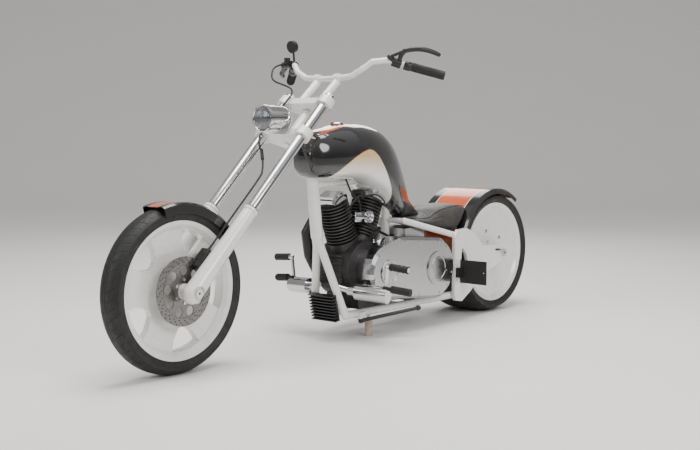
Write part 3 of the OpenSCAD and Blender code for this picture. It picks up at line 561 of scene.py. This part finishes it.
def trim_tree(kind):
    """Geometry Nodes tree that puts a bolt, a ring or a rib on each point of a mesh."""
    name = "Trim " + kind
    if name in bpy.data.node_groups:
        return bpy.data.node_groups[name]
    tree = bpy.data.node_groups.new(name, "GeometryNodeTree")
    face = tree.interface
    face.new_socket("Geometry", in_out="INPUT", socket_type="NodeSocketGeometry")
    for label, value in (("Radius", 0.006), ("Height", 0.004)):
        face.new_socket(label, in_out="INPUT", socket_type="NodeSocketFloat").default_value = value
    face.new_socket("Finish", in_out="INPUT", socket_type="NodeSocketMaterial")
    face.new_socket("Geometry", in_out="OUTPUT", socket_type="NodeSocketGeometry")

    def add(kind, inputs=(), **settings):
        """New node's first output; each input takes a number, a word or another output."""
        node = tree.nodes.new(kind)
        for key, value in settings.items():
            setattr(node, key, value)
        for key, value in dict(inputs).items():
            if isinstance(value, bpy.types.NodeSocket):
                tree.links.new(value, node.inputs[key])
            else:
                node.inputs[key].default_value = value
        return node.outputs[0] if node.outputs else node

    given = tree.nodes.new("NodeGroupInput").outputs
    radius, height = given["Radius"], given["Height"]
    facing = add("GeometryNodeInputNamedAttribute", {"Name": "facing"}, data_type="FLOAT_VECTOR")
    aim = add("FunctionNodeAlignRotationToVector", {"Vector": facing}, axis="Z")
    if kind == "ring":
        path = add("GeometryNodeCurvePrimitiveCircle", {"Resolution": 28, "Radius": radius})
        edge = add("GeometryNodeCurvePrimitiveCircle", {"Resolution": 8, "Radius": height})
        shape = add("GeometryNodeCurveToMesh", {"Curve": path, "Profile Curve": edge})
    else:
        shape = add("GeometryNodeMeshCylinder", {"Vertices": 6 if kind == "bolt" else 16,
                                                 "Radius": radius, "Depth": height})
    if kind == "socket":
        thin = add("ShaderNodeMath", {0: radius, 1: 0.55}, operation="MULTIPLY")
        tall = add("ShaderNodeMath", {0: height, 1: 1.5}, operation="MULTIPLY")
        top = add("GeometryNodeMeshCylinder", {"Vertices": 6, "Radius": thin, "Depth": tall})
        both = tree.nodes.new("GeometryNodeJoinGeometry")
        for part in (shape, top):
            tree.links.new(part, both.inputs[0])
        shape = both.outputs[0]
    points = add("GeometryNodeMeshToPoints", {"Mesh": given["Geometry"]})
    placed = add("GeometryNodeInstanceOnPoints",
                 {"Points": points, "Instance": shape, "Rotation": aim})
    real = add("GeometryNodeRealizeInstances", {"Geometry": placed})
    paint = add("GeometryNodeSetMaterial", {"Geometry": real, "Material": given["Finish"]})
    add("NodeGroupOutput", {"Geometry": paint})
    return tree


def trim(name, kind, spots, body, material, radius, height):
    """Puts bolts, rings or ribs at (place, facing) pairs and returns them as one plain piece."""
    data = bpy.data.meshes.new(name + "_points")
    data.from_pydata([tuple(p) for p, _ in spots], [], [])
    aims = data.attributes.new("facing", "FLOAT_VECTOR", "POINT")
    for i, (_, way) in enumerate(spots):
        aims.data[i].vector = Vector(way).normalized()
    carrier = bpy.data.objects.new(name + "_points", data)
    bpy.context.collection.objects.link(carrier)
    tree = trim_tree(kind)
    work = carrier.modifiers.new("Trim", "NODES")
    work.node_group = tree
    ids = {i.name: i.identifier for i in tree.interface.items_tree if i.in_out == "INPUT"}
    work[ids["Radius"]] = radius
    work[ids["Height"]] = height
    work[ids["Finish"]] = MATS[material]
    graph = bpy.context.evaluated_depsgraph_get()
    made = bpy.data.meshes.new_from_object(carrier.evaluated_get(graph))
    carrier.modifiers.remove(work)
    bpy.data.objects.remove(carrier)
    made.name = name
    piece = bpy.data.objects.new(name, made)
    bpy.context.collection.objects.link(piece)
    if kind == "ring":
        made.shade_smooth()
    fix = bmesh.new()
    fix.from_mesh(made)
    bmesh.ops.recalc_face_normals(fix, faces=fix.faces)
    fix.to_mesh(made)
    fix.free()
    return settle(piece, body, material)


def ring_spots(centre, axis, radius, count, start=0.0):
    """Evenly spaced spots on a circle, facing along its axis."""
    axis = Vector(axis).normalized()
    u = Vector((0, 0, 1)) if abs(axis.z) < 0.9 else Vector((0, 1, 0))
    u = (u - axis * u.dot(axis)).normalized()
    v = axis.cross(u)
    return [(Vector(centre) + (u * math.cos(a) + v * math.sin(a)) * radius, axis)
            for a in (start + math.tau * k / count for k in range(count))]


def along(a, b, shares):
    """Spots at shares of the way from a to b on both sides, facing along the line."""
    spots = []
    for k in SIDES:
        start, way = Vector((k * a[0], *a[1:])), Vector((k * b[0], *b[1:]))
        way -= start
        spots += [(start + way * share, way) for share in shares]
    return spots


# ---------------------------------------------------------------- operators

class PieceOperator:
    """Shared options of the operators below."""
    bl_options = {"REGISTER", "UNDO"}


class CHOPPER_OT_stage(PieceOperator, bpy.types.Operator):
    """Makes the studio: camera, floor with a curved wall, and soft lights"""
    bl_idname = "chopper.stage"
    bl_label = "Studio"

    def execute(self, context):
        s = context.scene.chopper_studio
        yaw, pitch = math.radians(40.36), math.radians(4.98)
        way = Vector((-math.sin(yaw) * math.cos(pitch), math.cos(yaw) * math.cos(pitch),
                      -math.sin(pitch)))
        data = bpy.data.cameras.new("camera")
        data.sensor_fit, data.sensor_width, data.lens = "HORIZONTAL", 36.0, s.lens
        data.clip_end = 200
        camera = bpy.data.objects.new("camera", data)
        camera.location = (3.403, -3.971, 0.994)
        camera.rotation_mode = "QUATERNION"
        camera.rotation_quaternion = way.to_track_quat("-Z", "Y")
        context.collection.objects.link(camera)
        context.scene.camera = camera
        verts, faces = [], []
        # the wall is behind every camera that goes round the machine
        start, bend, wide = 8.8, 3.6, 60.0
        arc = [(-110.0, 0.0), (start, 0.0)]
        arc += [(start + bend * math.sin(a), bend - bend * math.cos(a))
                for a in (math.radians(7.5 * k) for k in range(1, 13))]
        arc += [(start + bend, 24.0)]
        turn = Matrix.Rotation(yaw, 3, "Z")
        for d, h in arc:
            for x in (-wide, wide):
                verts.append(turn @ Vector((x, d, 0)) + Vector((0, 0, h)))
        for i in range(len(arc) - 1):
            faces.append([2 * i, 2 * i + 1, 2 * i + 3, 2 * i + 2])
        floor = mesh_piece("studio_floor", verts, faces, merge=False)
        tree = Tree("Studio floor")
        tone = tree.mix(tree.noise(1.2, 2), shade(s.floor, 0.98), tuple(s.floor))
        floor.data.materials.append(tree.finish(tone, 0.75, tree.bump(tree.noise(120, 2), 0.03, 0.001)))
        world = bpy.data.worlds.new("studio")
        world.use_nodes = True
        nodes, links = world.node_tree.nodes, world.node_tree.links
        back = nodes["Background"]
        split = nodes.new("ShaderNodeSeparateXYZ")
        ramp = nodes.new("ShaderNodeValToRGB")
        links.new(nodes.new("ShaderNodeTexCoord").outputs["Generated"], split.inputs[0])
        links.new(split.outputs["Z"], ramp.inputs[0])
        ramp.color_ramp.elements[0].position = 0.02
        ramp.color_ramp.elements[0].color = (0.10, 0.10, 0.105, 1.0)
        ramp.color_ramp.elements[1].position = 0.75
        ramp.color_ramp.elements[1].color = (1.0, 1.0, 1.0, 1.0)
        links.new(ramp.outputs[0], back.inputs[0])
        back.inputs[1].default_value = 0.78
        context.scene.world = world
        lamps = (("top_light", (0.2, -0.2, 4.6), (0, 0, 0.3), 3.4, 250),
                 ("left_light", (4.6, -1.0, 3.0), (0, 0, 0.6), 2.4, 120),
                 ("front_light", (-1.6, -5.2, 2.6), (0, -0.3, 0.6), 2.2, 75),
                 ("rear_light", (-2.6, 3.6, 3.0), (0, 0.3, 0.6), 2.4, 62))
        for name, place, target, size, power_w in lamps:
            light = bpy.data.lights.new(name, "AREA")
            light.shape, light.size, light.energy = "DISK", size, power_w
            light.color = (1.0, 0.985, 0.965)
            lamp = bpy.data.objects.new(name, light)
            lamp.location = place
            lamp.rotation_mode = "QUATERNION"
            lamp.rotation_quaternion = (Vector(target) - Vector(place)).to_track_quat("-Z", "Y")
            context.collection.objects.link(lamp)
        return {"FINISHED"}


NODE_PAINT = {
    "white": ("frame_neck", "frame_backbone", "frame_downtubes", "frame_lower_rails",
              "frame_upper_rails", "frame_plates", "fork_clamps", "fork_legs", "handlebar",
              "front_rim", "rear_rim"),
    "chrome": ("rocker_boxes", "carburettor", "foot_controls", "rear_axle", "steering_stem",
               "fork_tubes", "front_axle", "headlamp"),
    "cast": ("crankcase", "cylinders", "transmission"),
    "polished": ("primary_cover", "oil_tank"),
    "satin": ("front_rotor", "rear_pulley"),
    "black_metal": ("exhaust_pipes", "regulator", "plate_bracket", "rear_caliper",
                    "clutch_lever", "brake_lever", "mirror", "front_caliper", "side_stand"),
    "rubber": ("foot_pegs", "drive_belt", "grips", "brake_hose"),
    "post": ("prop_post",),
    "rear_fender": ("rear_fender",), "front_fender": ("front_fender",),
    "tank": ("tank",), "leather": ("seat",),
    "front_tyre": ("front_tyre",), "rear_tyre": ("rear_tyre",),
}


class CHOPPER_OT_finishes(PieceOperator, bpy.types.Operator):
    """Gives every part that keeps its shape its paint, plate or casting finish"""
    bl_idname = "chopper.finishes"
    bl_label = "Finishes"

    def execute(self, context):
        make_materials(context.scene)
        for material, nodes in NODE_PAINT.items():
            for node in nodes:
                paint_node(node, material)
        return {"FINISHED"}


# rows along the tank in millimetres: y, underside, top, share of the half width
TANK_TABLE = [[-296, 800, 950, 0.42], [-270, 775, 975, 0.62], [-220, 768, 990, 0.80],
              [-150, 764, 1003, 0.93], [-70, 762, 1018, 0.99], [0, 756, 1019, 1.0],
              [60, 742, 1018, 1.0], [120, 714, 1010, 0.98], [180, 688, 994, 0.93],
              [230, 656, 970, 0.86], [280, 612, 938, 0.76], [330, 574, 884, 0.63],
              [380, 550, 807, 0.50], [415, 550, 742, 0.40], [450, 552, 664, 0.31],
              [500, 552, 616, 0.25], [545, 552, 576, 0.18]]


class CHOPPER_OT_tank(PieceOperator, bpy.types.Operator):
    """Makes the fuel tank's skin and its filler cap"""
    bl_idname = "chopper.tank"
    bl_label = "Fuel tank"

    def execute(self, context):
        low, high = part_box("tank")
        half = (high[0] - low[0]) / 2
        rings = []
        for y, b, t, w in table_rows(TANK_TABLE, 4):
            rings.append(section(y, b, t, w * half * 1000, 0.42, 72, (0.86, 0.55, 0.78)))
        tank = mesh_piece("tank_skin", *skin(rings))
        settle(tank, "chassis", "tank", ("tank",), 40)
        cap = lathe([(0.0, -0.004), (0.030, -0.004), (0.034, 0.0), (0.034, 0.005),
                     (0.030, 0.009), (0.020, 0.0105), (0.0, 0.0108)], (0, -0.060, 1.0165),
                    (0, 0.05, 1), 64)
        round_piece("filler_cap", cap, "chassis", "chrome", 35)
        return {"FINISHED"}


FENDER_CLEAR = 347.5  # the seat's underside stays this far from the rear axle, mm
# rows along the seat in millimetres: y, underside, top, share of the half width
SEAT_TABLE = [[396, 531.5, 541, 0.40], [420, 529.5, 545, 0.64], [470, 517.5, 546, 0.80],
              [540, 500, 549, 0.90], [600, 485, 578, 0.96], [660, 469, 593, 0.98],
              [720, 455, 602, 0.98], [780, 500, 603, 0.95], [826, 560, 596, 0.88],
              [856, 582, 590, 0.70]]


class CHOPPER_OT_seat(PieceOperator, bpy.types.Operator):
    """Makes the puffed leather seat with its piping and stitches"""
    bl_idname = "chopper.seat"
    bl_label = "Seat"

    def execute(self, context):
        s = context.scene.chopper_soft
        low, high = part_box("seat")
        half = (high[0] - low[0]) / 2 * 1000
        rings = []
        for y, b, t, w in table_rows(SEAT_TABLE, 3):
            w *= half - 4
            dy = REAR_AXLE.y * 1000 - y
            guard = FENDER_CLEAR ** 2 - dy * dy
            if guard > 0:
                b = max(b, REAR_AXLE.z * 1000 + math.sqrt(guard))
            t = max(t, b + 7)
            rings.append(section(y, b, t, w, 0.4, 48, (0.8, 0.35, 0.6)))
        pad = mesh_piece("seat_pad", *skin(rings))
        self.puff(context, pad, s.puff)
        settle(pad, "chassis", "leather", ("seat",))
        self.seams(context, pad)
        return {"FINISHED"}

    def puff(self, context, pad, limit):
        """Inflates the cover with a short cloth simulation, held at its underside."""
        rest = pad.modifiers.new("Even mesh", "REMESH")
        rest.mode, rest.voxel_size = "VOXEL", 0.0055
        graph = context.evaluated_depsgraph_get()
        even = bpy.data.meshes.new_from_object(pad.evaluated_get(graph))
        pad.modifiers.clear()
        pad.data = even
        start = [v.co.copy() for v in even.vertices]
        ends = [v.normal.copy() for v in even.vertices]
        group = pad.vertex_groups.new(name="held")
        group.add([i for i, n in enumerate(ends) if n.z < 0.15], 1.0, "REPLACE")
        cloth = pad.modifiers.new("Cloth", "CLOTH")
        cloth.settings.use_pressure = True
        cloth.settings.uniform_pressure_force = 4.0
        cloth.settings.effector_weights.gravity = 0.0
        cloth.settings.vertex_group_mass = "held"
        cloth.settings.quality = 5
        cloth.settings.tension_stiffness = 25
        for f in range(1, 15):
            context.scene.frame_set(f)
        graph = context.evaluated_depsgraph_get()
        moved = [v.co.copy() for v in pad.evaluated_get(graph).data.vertices]
        pad.modifiers.clear()
        context.scene.frame_set(1)
        for v, a, b, n in zip(even.vertices, start, moved, ends):
            step = b - a
            if n.z < 0.15:
                step = Vector()
            if step.length > limit:
                step = step.normalized() * limit
            v.co = a + step
        fine = pad.modifiers.new("Smooth", "SUBSURF")
        fine.levels = fine.render_levels = 1
        pad.data.shade_smooth()

    def seams(self, context, pad):
        """Piping and stitches that lie on the cover."""
        graph = context.evaluated_depsgraph_get()
        cover = pad.evaluated_get(graph)
        spots, edge = [], {1: [], -1: []}
        for side in SIDES:
            for k in range(58):
                y = 0.425 + k * 0.0074
                w = 0.093 if y > 0.56 else 0.062 + (y - 0.425) * 0.23
                hit, at, normal, _ = cover.ray_cast(Vector((side * w, y, 0.9)), Vector((0, 0, -1)))
                if hit:
                    edge[side].append(at + normal * 0.0004)
                    spots.append((at + normal * 0.0010 + Vector((side * 0.008, 0, 0)), normal))
        parts = [tube(edge[side], 0.0026, 8) for side in SIDES if len(edge[side]) > 3]
        piping = mesh_piece("seat_piping", *join_meshes(parts))
        settle(piping, "chassis", "leather")
        trim("seat_stitches", "socket", spots, "chassis", "rubber", 0.0011, 0.0016)


class CHOPPER_OT_engine_trim(PieceOperator, bpy.types.Operator):
    """Adds push rods, plugs and leads, cover bolts, cooling ribs, intake trim and hoses"""
    bl_idname = "chopper.engine_trim"
    bl_label = "Engine trim"

    def execute(self, context):
        m = context.scene.chopper_metal
        lean = {k: Vector((0, k * math.sin(CYLINDER_LEAN), math.cos(CYLINDER_LEAN))) for k in SIDES}
        cross = {k: Vector((0, lean[k].z, -lean[k].y)) for k in SIDES}
        rods, plugs, bolts = [], [], []
        for k in SIDES:
            for n in (-0.020, 0.016):
                low = CRANK + lean[k] * 0.118 + cross[k] * (n - k * 0.004) + Vector((-0.0835, 0, 0))
                high = CRANK + lean[k] * 0.354 + cross[k] * n + Vector((-0.0830, 0, 0))
                rods.append(tube([low, low + (high - low) * 0.25], 0.0085, 20))
                rods.append(tube([low + (high - low) * 0.22, high], 0.0065, 20))
            foot = CRANK + lean[k] * 0.322 + Vector((0.074, 0, 0))
            plugs.append(tube([foot, foot + Vector((0.016, 0, 0.004))], 0.008, 6))
            plugs.append(tube([foot + Vector((0.014, 0, 0.004)), foot + Vector((0.030, 0, 0.008))],
                              0.0055, 16))
            for x in (-0.050, 0.050):
                for n in (-0.036, 0.036):
                    bolts.append((CRANK + lean[k] * 0.3785 + cross[k] * n + Vector((x, 0, 0)), lean[k]))
        group_piece("push_rod_tubes", rods, "chassis", "chrome", sharp=40)
        group_piece("spark_plugs", plugs, "chassis", "rubber", sharp=40)
        trim("rocker_bolts", "bolt", bolts, "chassis", "chrome", m.bolt, 0.006)
        # plug leads that arch from the plugs to the coil between the heads
        leads = []
        for k in SIDES:
            foot = CRANK + lean[k] * 0.322 + Vector((0.103, 0, 0.008))
            coil = Vector((0.070, 0.036 + k * 0.010, 0.690))
            way = smooth_path([foot, foot + Vector((0.010, k * -0.004, 0.014)),
                               (foot + coil) / 2 + Vector((0.022, 0, 0.020)),
                               coil + Vector((0.006, 0, -0.012)), coil], 6)
            leads.append(tube(way, 0.0038, 10))
        group_piece("plug_leads", leads, "chassis", "rubber")
        coil = lathe([(0.0, 0.0), (0.020, 0.0), (0.022, 0.003), (0.022, 0.055), (0.019, 0.060),
                      (0.0, 0.060)], (0.020, 0.036, 0.688), LEFT, 32)
        round_piece("ignition_coil", coil, "chassis", "black_metal", 40)
        # primary cover: rim bolts, and a ring of bolts at the clutch and the sprocket
        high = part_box("primary_cover")[1]
        face = high[0] - 0.0068
        spots = []
        for (cy, cz), reach, turns in ((DRIVE_SPROCKET, 0.106, range(130, 290, 32)),
                                       (CLUTCH, 0.130, range(-80, 86, 33))):
            for r in map(math.radians, turns):
                spots.append((Vector((face, cy + reach * math.cos(r), cz + reach * math.sin(r))),
                              LEFT))
        for y, z in ((0.215, 0.455), (0.330, 0.440), (0.200, 0.212), (0.330, 0.184)):
            spots.append((Vector((face, y, z)), LEFT))
        trim("cover_bolts", "socket", spots, "chassis", "chrome", m.bolt, 0.006)
        ring = ring_spots((high[0] + 0.0002, *CLUTCH), LEFT, 0.072, 6, 0.3)
        ring += ring_spots((high[0] - 0.0018, *DRIVE_SPROCKET), LEFT, 0.048, 4, 0.6)
        trim("clutch_cover_bolts", "socket", ring, "chassis", "chrome", 0.0048, 0.004)
        trim("cover_rings", "ring", [(Vector((high[0] - 0.0005, *CLUTCH)), LEFT),
                                     (Vector((high[0] - 0.0025, *DRIVE_SPROCKET)), LEFT)],
             "chassis", "chrome", 0.058, 0.0022)
        # cooling ribs on the gearbox and the nose of the crankcase
        ribs = []
        for i in range(7):
            z = 0.300 + i * 0.0165
            ribs.append(tube([Vector((-0.060, -0.1005, z)), Vector((0.060, -0.1005, z))], 0.0035, 8))
        for i in range(8):
            z = 0.165 + i * 0.020
            ribs.append(tube([Vector((-0.101, 0.352, z)), Vector((-0.101, 0.545, z))], 0.0035, 8))
        group_piece("case_ribs", ribs, "chassis", "cast")
        # air cleaner dome and its screws, and the bright intake bell on the left
        dome = lathe([(0.0, 0.022), (0.020, 0.021), (0.046, 0.014), (0.060, 0.006), (0.066, 0.0),
                      (0.0, 0.0)], (-0.1598, *AIR_INTAKE), RIGHT, 72)
        round_piece("air_cleaner_dome", dome, "chassis", "chrome", 40)
        screws = ring_spots((-0.163, *AIR_INTAKE), RIGHT, 0.062, 5, 0.2)
        trim("air_cleaner_screws", "socket", screws, "chassis", "chrome", 0.004, 0.004)
        bell = lathe([(0.016, 0.0), (0.020, 0.004), (0.022, 0.012), (0.026, 0.018), (0.026, 0.022),
                      (0.021, 0.022), (0.017, 0.014), (0.013, 0.004)], (0.1035, *AIR_INTAKE),
                     LEFT, 48)
        round_piece("intake_bell", bell, "chassis", "chrome", 40)
        hoses = [tube(smooth_path([(0.060, 0.052, 0.565), (0.074, 0.120, 0.520),
                                   (0.070, 0.250, 0.470), (0.066, 0.338, 0.452)], 10), 0.0065, 12),
                 tube(smooth_path([(0.078, 0.020, 0.604), (0.090, -0.010, 0.660),
                                   (0.088, -0.060, 0.700), (0.070, -0.080, 0.764)], 10), 0.0045, 12)]
        group_piece("oil_and_fuel_lines", hoses, "chassis", "rubber")
        return {"FINISHED"}


class CHOPPER_OT_wheel_trim(PieceOperator, bpy.types.Operator):
    """Adds rotor bolts, hub seals, pulley bolts, axle rings, and black pieces of painted shade in the
    rotor's drillings and the axle slots
    """
    bl_idname = "chopper.wheel_trim"
    bl_label = "Wheel trim"

    def execute(self, context):
        a, b = FRONT_AXLE, REAR_AXLE
        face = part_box("front_rotor")[1][0]
        trim("rotor_bolts", "socket", ring_spots((face + 0.001, a.y, a.z), LEFT, 0.047, 6),
             "front_wheel", "chrome", 0.006, 0.004)
        # black discs of painted shade in the rotor's drillings
        dots = []
        for r, n, s in ((0.118, 26, 0.0), (0.127, 26, 0.08), (0.136, 26, 0.16)):
            dots += ring_spots((face - 0.0006, a.y, a.z), LEFT, r, n, s)
        trim("rotor_hole_painted_shade", "socket", dots, "front_wheel", "black_metal",
             0.0030, 0.0018)
        trim("rotor_ring", "ring", [(Vector((face, a.y, a.z)), LEFT)], "front_wheel",
             "satin", 0.108, 0.0016)
        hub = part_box("rear_rim")[1][0]
        for side in (1, -1):
            cap = lathe([(0.024, -0.004), (0.034, -0.001), (0.0385, -0.006), (0.0385, -0.010),
                         (0.024, -0.010)], (side * hub, b.y, b.z), (side, 0, 0), 64)
            settle(mesh_piece("rear_hub_seal_%s" % ("left" if side > 0 else "right"), *cap),
                   "rear_wheel", "black_metal", sharp=35)
        trim("rear_hub_bolts", "socket", ring_spots((0.1045, b.y, b.z), LEFT, 0.058, 5, 0.3),
             "rear_wheel", "chrome", 0.0065, 0.006)
        trim("pulley_bolts", "socket", ring_spots((-0.1716, b.y, b.z), RIGHT, 0.060, 6),
             "rear_wheel", "chrome", 0.006, 0.005)
        for name, body, axle, x in (("front", "steering", a, 0.1597),
                                    ("rear", "chassis", b, 0.2062)):
            spots = [(Vector((s * (x - 0.0035), axle.y, axle.z)), (s, 0, 0)) for s in SIDES]
            trim(name + "_axle_rings", "ring", spots, body, "chrome", 0.0125, 0.0028)
        # black rods of painted shade in the rear axle's adjuster slot on each side plate
        slots = [tube([Vector((s * 0.1945, b.y - 0.075, b.z + 0.022)),
                       Vector((s * 0.1945, b.y - 0.028, b.z + 0.017))], 0.0055, 10) for s in SIDES]
        group_piece("adjuster_slot_painted_shade", slots, "chassis", "black_metal")
        return {"FINISHED"}


# the brake hose down to the lower clamp, in millimetres
HOSE = [(-330, -68, 1308), (-330, -100, 1306), (-290, -190, 1280), (-196, -286, 1222)]


class CHOPPER_OT_front_trim(PieceOperator, bpy.types.Operator):
    """Makes the brake hose, fork and lamp trim, rubbers, lever blades and mirror glass"""
    bl_idname = "chopper.front_trim"
    bl_label = "Front trim"

    def execute(self, context):
        m = context.scene.chopper_metal
        way = [Vector(p) / 1000 for p in HOSE] + [fork(-90, -36, 1150), fork(-90, -36, 1000),
               fork(-90, -36, 860), fork(-45, -34, 790), fork(0, -31, 745), fork(60, -28, 660),
               fork(77, -28, 600), fork(77, -28, 400), fork(77, -28, 196.2)]
        hose = mesh_piece("hose_line", *tube(smooth_path(way, 8), 0.0043, 14))
        settle(hose, "steering", "rubber", ("brake_hose",))
        ends = [tube([fork(77, -28, 197), fork(77, -28, 214)], 0.0062, 6),
                tube([fork(77, -28, 212), fork(77, -28, 222)], 0.0054, 16),
                tube([fork(-22, -33, 772), fork(22, -30, 716)], 0.0075, 12)]
        group_piece("hose_fittings", ends, "steering", "black_metal", sharp=40)
        bolts = []
        for s in (904, 1104):
            for k in SIDES:
                bolts.append((fork(k * 97, -23.5, s), -FORK_BACK))
                bolts.append((fork(k * 97, 31.5, s), FORK_BACK))
        trim("clamp_bolts", "socket", bolts, "steering", "chrome", m.bolt, 0.008)
        spots = [(fork(k * LEG_X, 0, s), FORK_UP) for k in SIDES for s in (884, 924, 1084, 1124)]
        trim("clamp_rings", "ring", spots, "steering", "chrome", 0.0335, 0.0026)
        caps = []
        for k in SIDES:
            caps.append(lathe([(0.0, 0.0), (0.024, 0.0), (0.0245, 0.002), (0.0245, 0.010),
                               (0.020, 0.015), (0.009, 0.016), (0.009, 0.020), (0.0, 0.020)],
                              fork(k * LEG_X, 0, 1135.5), FORK_UP, 48))
        group_piece("fork_caps", caps, "steering", "chrome", sharp=35)
        seals = [lathe([(0.0245, 0.0), (0.0318, 0.0), (0.0318, 0.004), (0.028, 0.007),
                        (0.0245, 0.007)], fork(k * LEG_X, 0, 452), FORK_UP, 64) for k in SIDES]
        group_piece("fork_seals", seals, "steering", "rubber", sharp=35)
        lamp_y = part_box("headlamp")[0][1]
        glass = lathe([(0.0, 0.0145), (0.020, 0.0130), (0.038, 0.0085), (0.050, 0.003),
                       (0.0525, 0.0), (0.0, 0.0)], (0, lamp_y + 0.0008, LAMP_Z), (0, -1, 0), 72)
        round_piece("lamp_lens", glass, "steering", "glass", 50)
        rim = lathe([(0.0515, 0.0), (0.0525, 0.005), (0.0565, 0.008), (0.0605, 0.006),
                     (0.0612, 0.0), (0.0612, -0.006), (0.0590, -0.006)], (0, lamp_y + 0.001, LAMP_Z),
                    (0, -1, 0), 96)
        round_piece("lamp_rim", rim, "steering", "chrome", 50)
        ribs = along((0.350, 0.016, 1.283), (0.478, 0.128, 1.237),
                     [0.17 + i * 0.049 for i in range(17)])
        trim("grip_ribs", "ring", ribs, "steering", "rubber", 0.0200, 0.0016)
        peg = along((0.284, -0.066, 0.268), (0.420, -0.034, 0.254),
                    [0.36 + i * 0.085 for i in range(8)])
        trim("peg_ribs", "ring", peg, "chassis", "rubber", 0.0170, 0.0017)
        pads = along((0.322, -0.054, 0.366), (0.412, -0.0455, 0.3583), [i / 4 for i in range(5)])
        trim("pedal_ribs", "ring", pads, "chassis", "rubber", 0.0165, 0.0018)
        sleeves = [tube([Vector((k * 0.316, -0.0545, 0.3665)), Vector((k * 0.320, -0.0542, 0.3662)),
                         Vector((k * 0.410, -0.0457, 0.3585)), Vector((k * 0.414, -0.0453, 0.3582))],
                        [0.0140, 0.0165, 0.0165, 0.0140], 28) for k in SIDES]
        group_piece("pedal_rubbers", sleeves, "chassis", "rubber", sharp=40)
        blades = []
        for k, way in ((1, [(336, -18, 1306), (352, -22, 1330), (372, -18, 1347), (402, 12, 1354),
                            (430, 40, 1352), (455, 72, 1342), (472, 96, 1330)]),
                       (-1, [(-372, -18, 1296), (-402, 2, 1288), (-440, 24, 1274),
                             (-462, 52, 1267), (-478, 72, 1262)])):
            path = smooth_path([Vector(q) / 1000 for q in way], 6)
            n = len(path) - 1
            blades.append(tube(path, [0.0098 + 0.0022 * math.sin(math.pi * i / n) for i in
                                      range(n + 1)], 20))
            blades.append(lathe([(0.0098 * math.sin(math.pi * i / 12),
                                  -0.0098 * math.cos(math.pi * i / 12)) for i in range(13)],
                                path[-1], (0, 0, 1), 24))
        housings = []
        for k in SIDES:
            a = Vector((k * 0.322, -0.0130, 1.2925))
            b = Vector((k * 0.376, 0.0360, 1.2730))
            d = (b - a).normalized()
            housings.append(lathe([(0.0145, 0.0), (0.0205, 0.001), (0.0215, 0.004), (0.0215, 0.030),
                                   (0.0195, 0.034), (0.0145, 0.034)], a + d * 0.030, d, 40))
        group_piece("switch_housings", housings, "steering", "black_metal",
                    sharp=40)
        group_piece("lever_blades", blades, "steering", "black_metal", sharp=40)
        spots = [(fork(98.6, n, s), LEFT) for s in (122, 178) for n in (-26, 26)]
        trim("caliper_bolts", "socket", spots, "steering", "chrome", 0.006, 0.004)
        face = lathe([(0.0, 0.0008), (0.026, 0.0008), (0.027, 0.0), (0.0, 0.0)],
                     (-0.297, -0.0400, 1.3960), Vector((0, 18, 4)), 48)
        round_piece("mirror_glass", face, "steering", "chrome", 30)
        return {"FINISHED"}


PIECES = (CHOPPER_OT_stage, CHOPPER_OT_finishes, CHOPPER_OT_tank, CHOPPER_OT_seat,
          CHOPPER_OT_engine_trim, CHOPPER_OT_wheel_trim, CHOPPER_OT_front_trim)
GROUPS = {"chopper_paint": PaintSettings, "chopper_metal": MetalSettings,
          "chopper_soft": SoftSettings, "chopper_studio": StudioSettings}


class CHOPPER_PT_panel(bpy.types.Panel):
    """Sizes, colours and pieces of the chopper"""
    bl_idname = "CHOPPER_PT_panel"
    bl_label = "Chopper"
    bl_space_type = "VIEW_3D"
    bl_region_type = "UI"
    bl_category = "Chopper"

    def draw(self, context):
        for name, kind in GROUPS.items():
            box = self.layout.box()
            group = getattr(context.scene, name)
            for key in kind.__annotations__:
                box.prop(group, key)
        for piece in PIECES:
            self.layout.operator(piece.bl_idname)


def register():
    for kind in (*GROUPS.values(), *PIECES, CHOPPER_PT_panel):
        bpy.utils.register_class(kind)
    for name, kind in GROUPS.items():
        setattr(bpy.types.Scene, name, PointerProperty(type=kind))


def unregister():
    for name in GROUPS:
        delattr(bpy.types.Scene, name)
    for kind in (CHOPPER_PT_panel, *reversed(PIECES), *reversed(list(GROUPS.values()))):
        bpy.utils.unregister_class(kind)


def main():
    """Registers the add-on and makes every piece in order."""
    register()
    for piece in PIECES:
        group, action = piece.bl_idname.split(".")
        getattr(getattr(bpy.ops, group), action)()


if __name__ == "__main__":
    main()
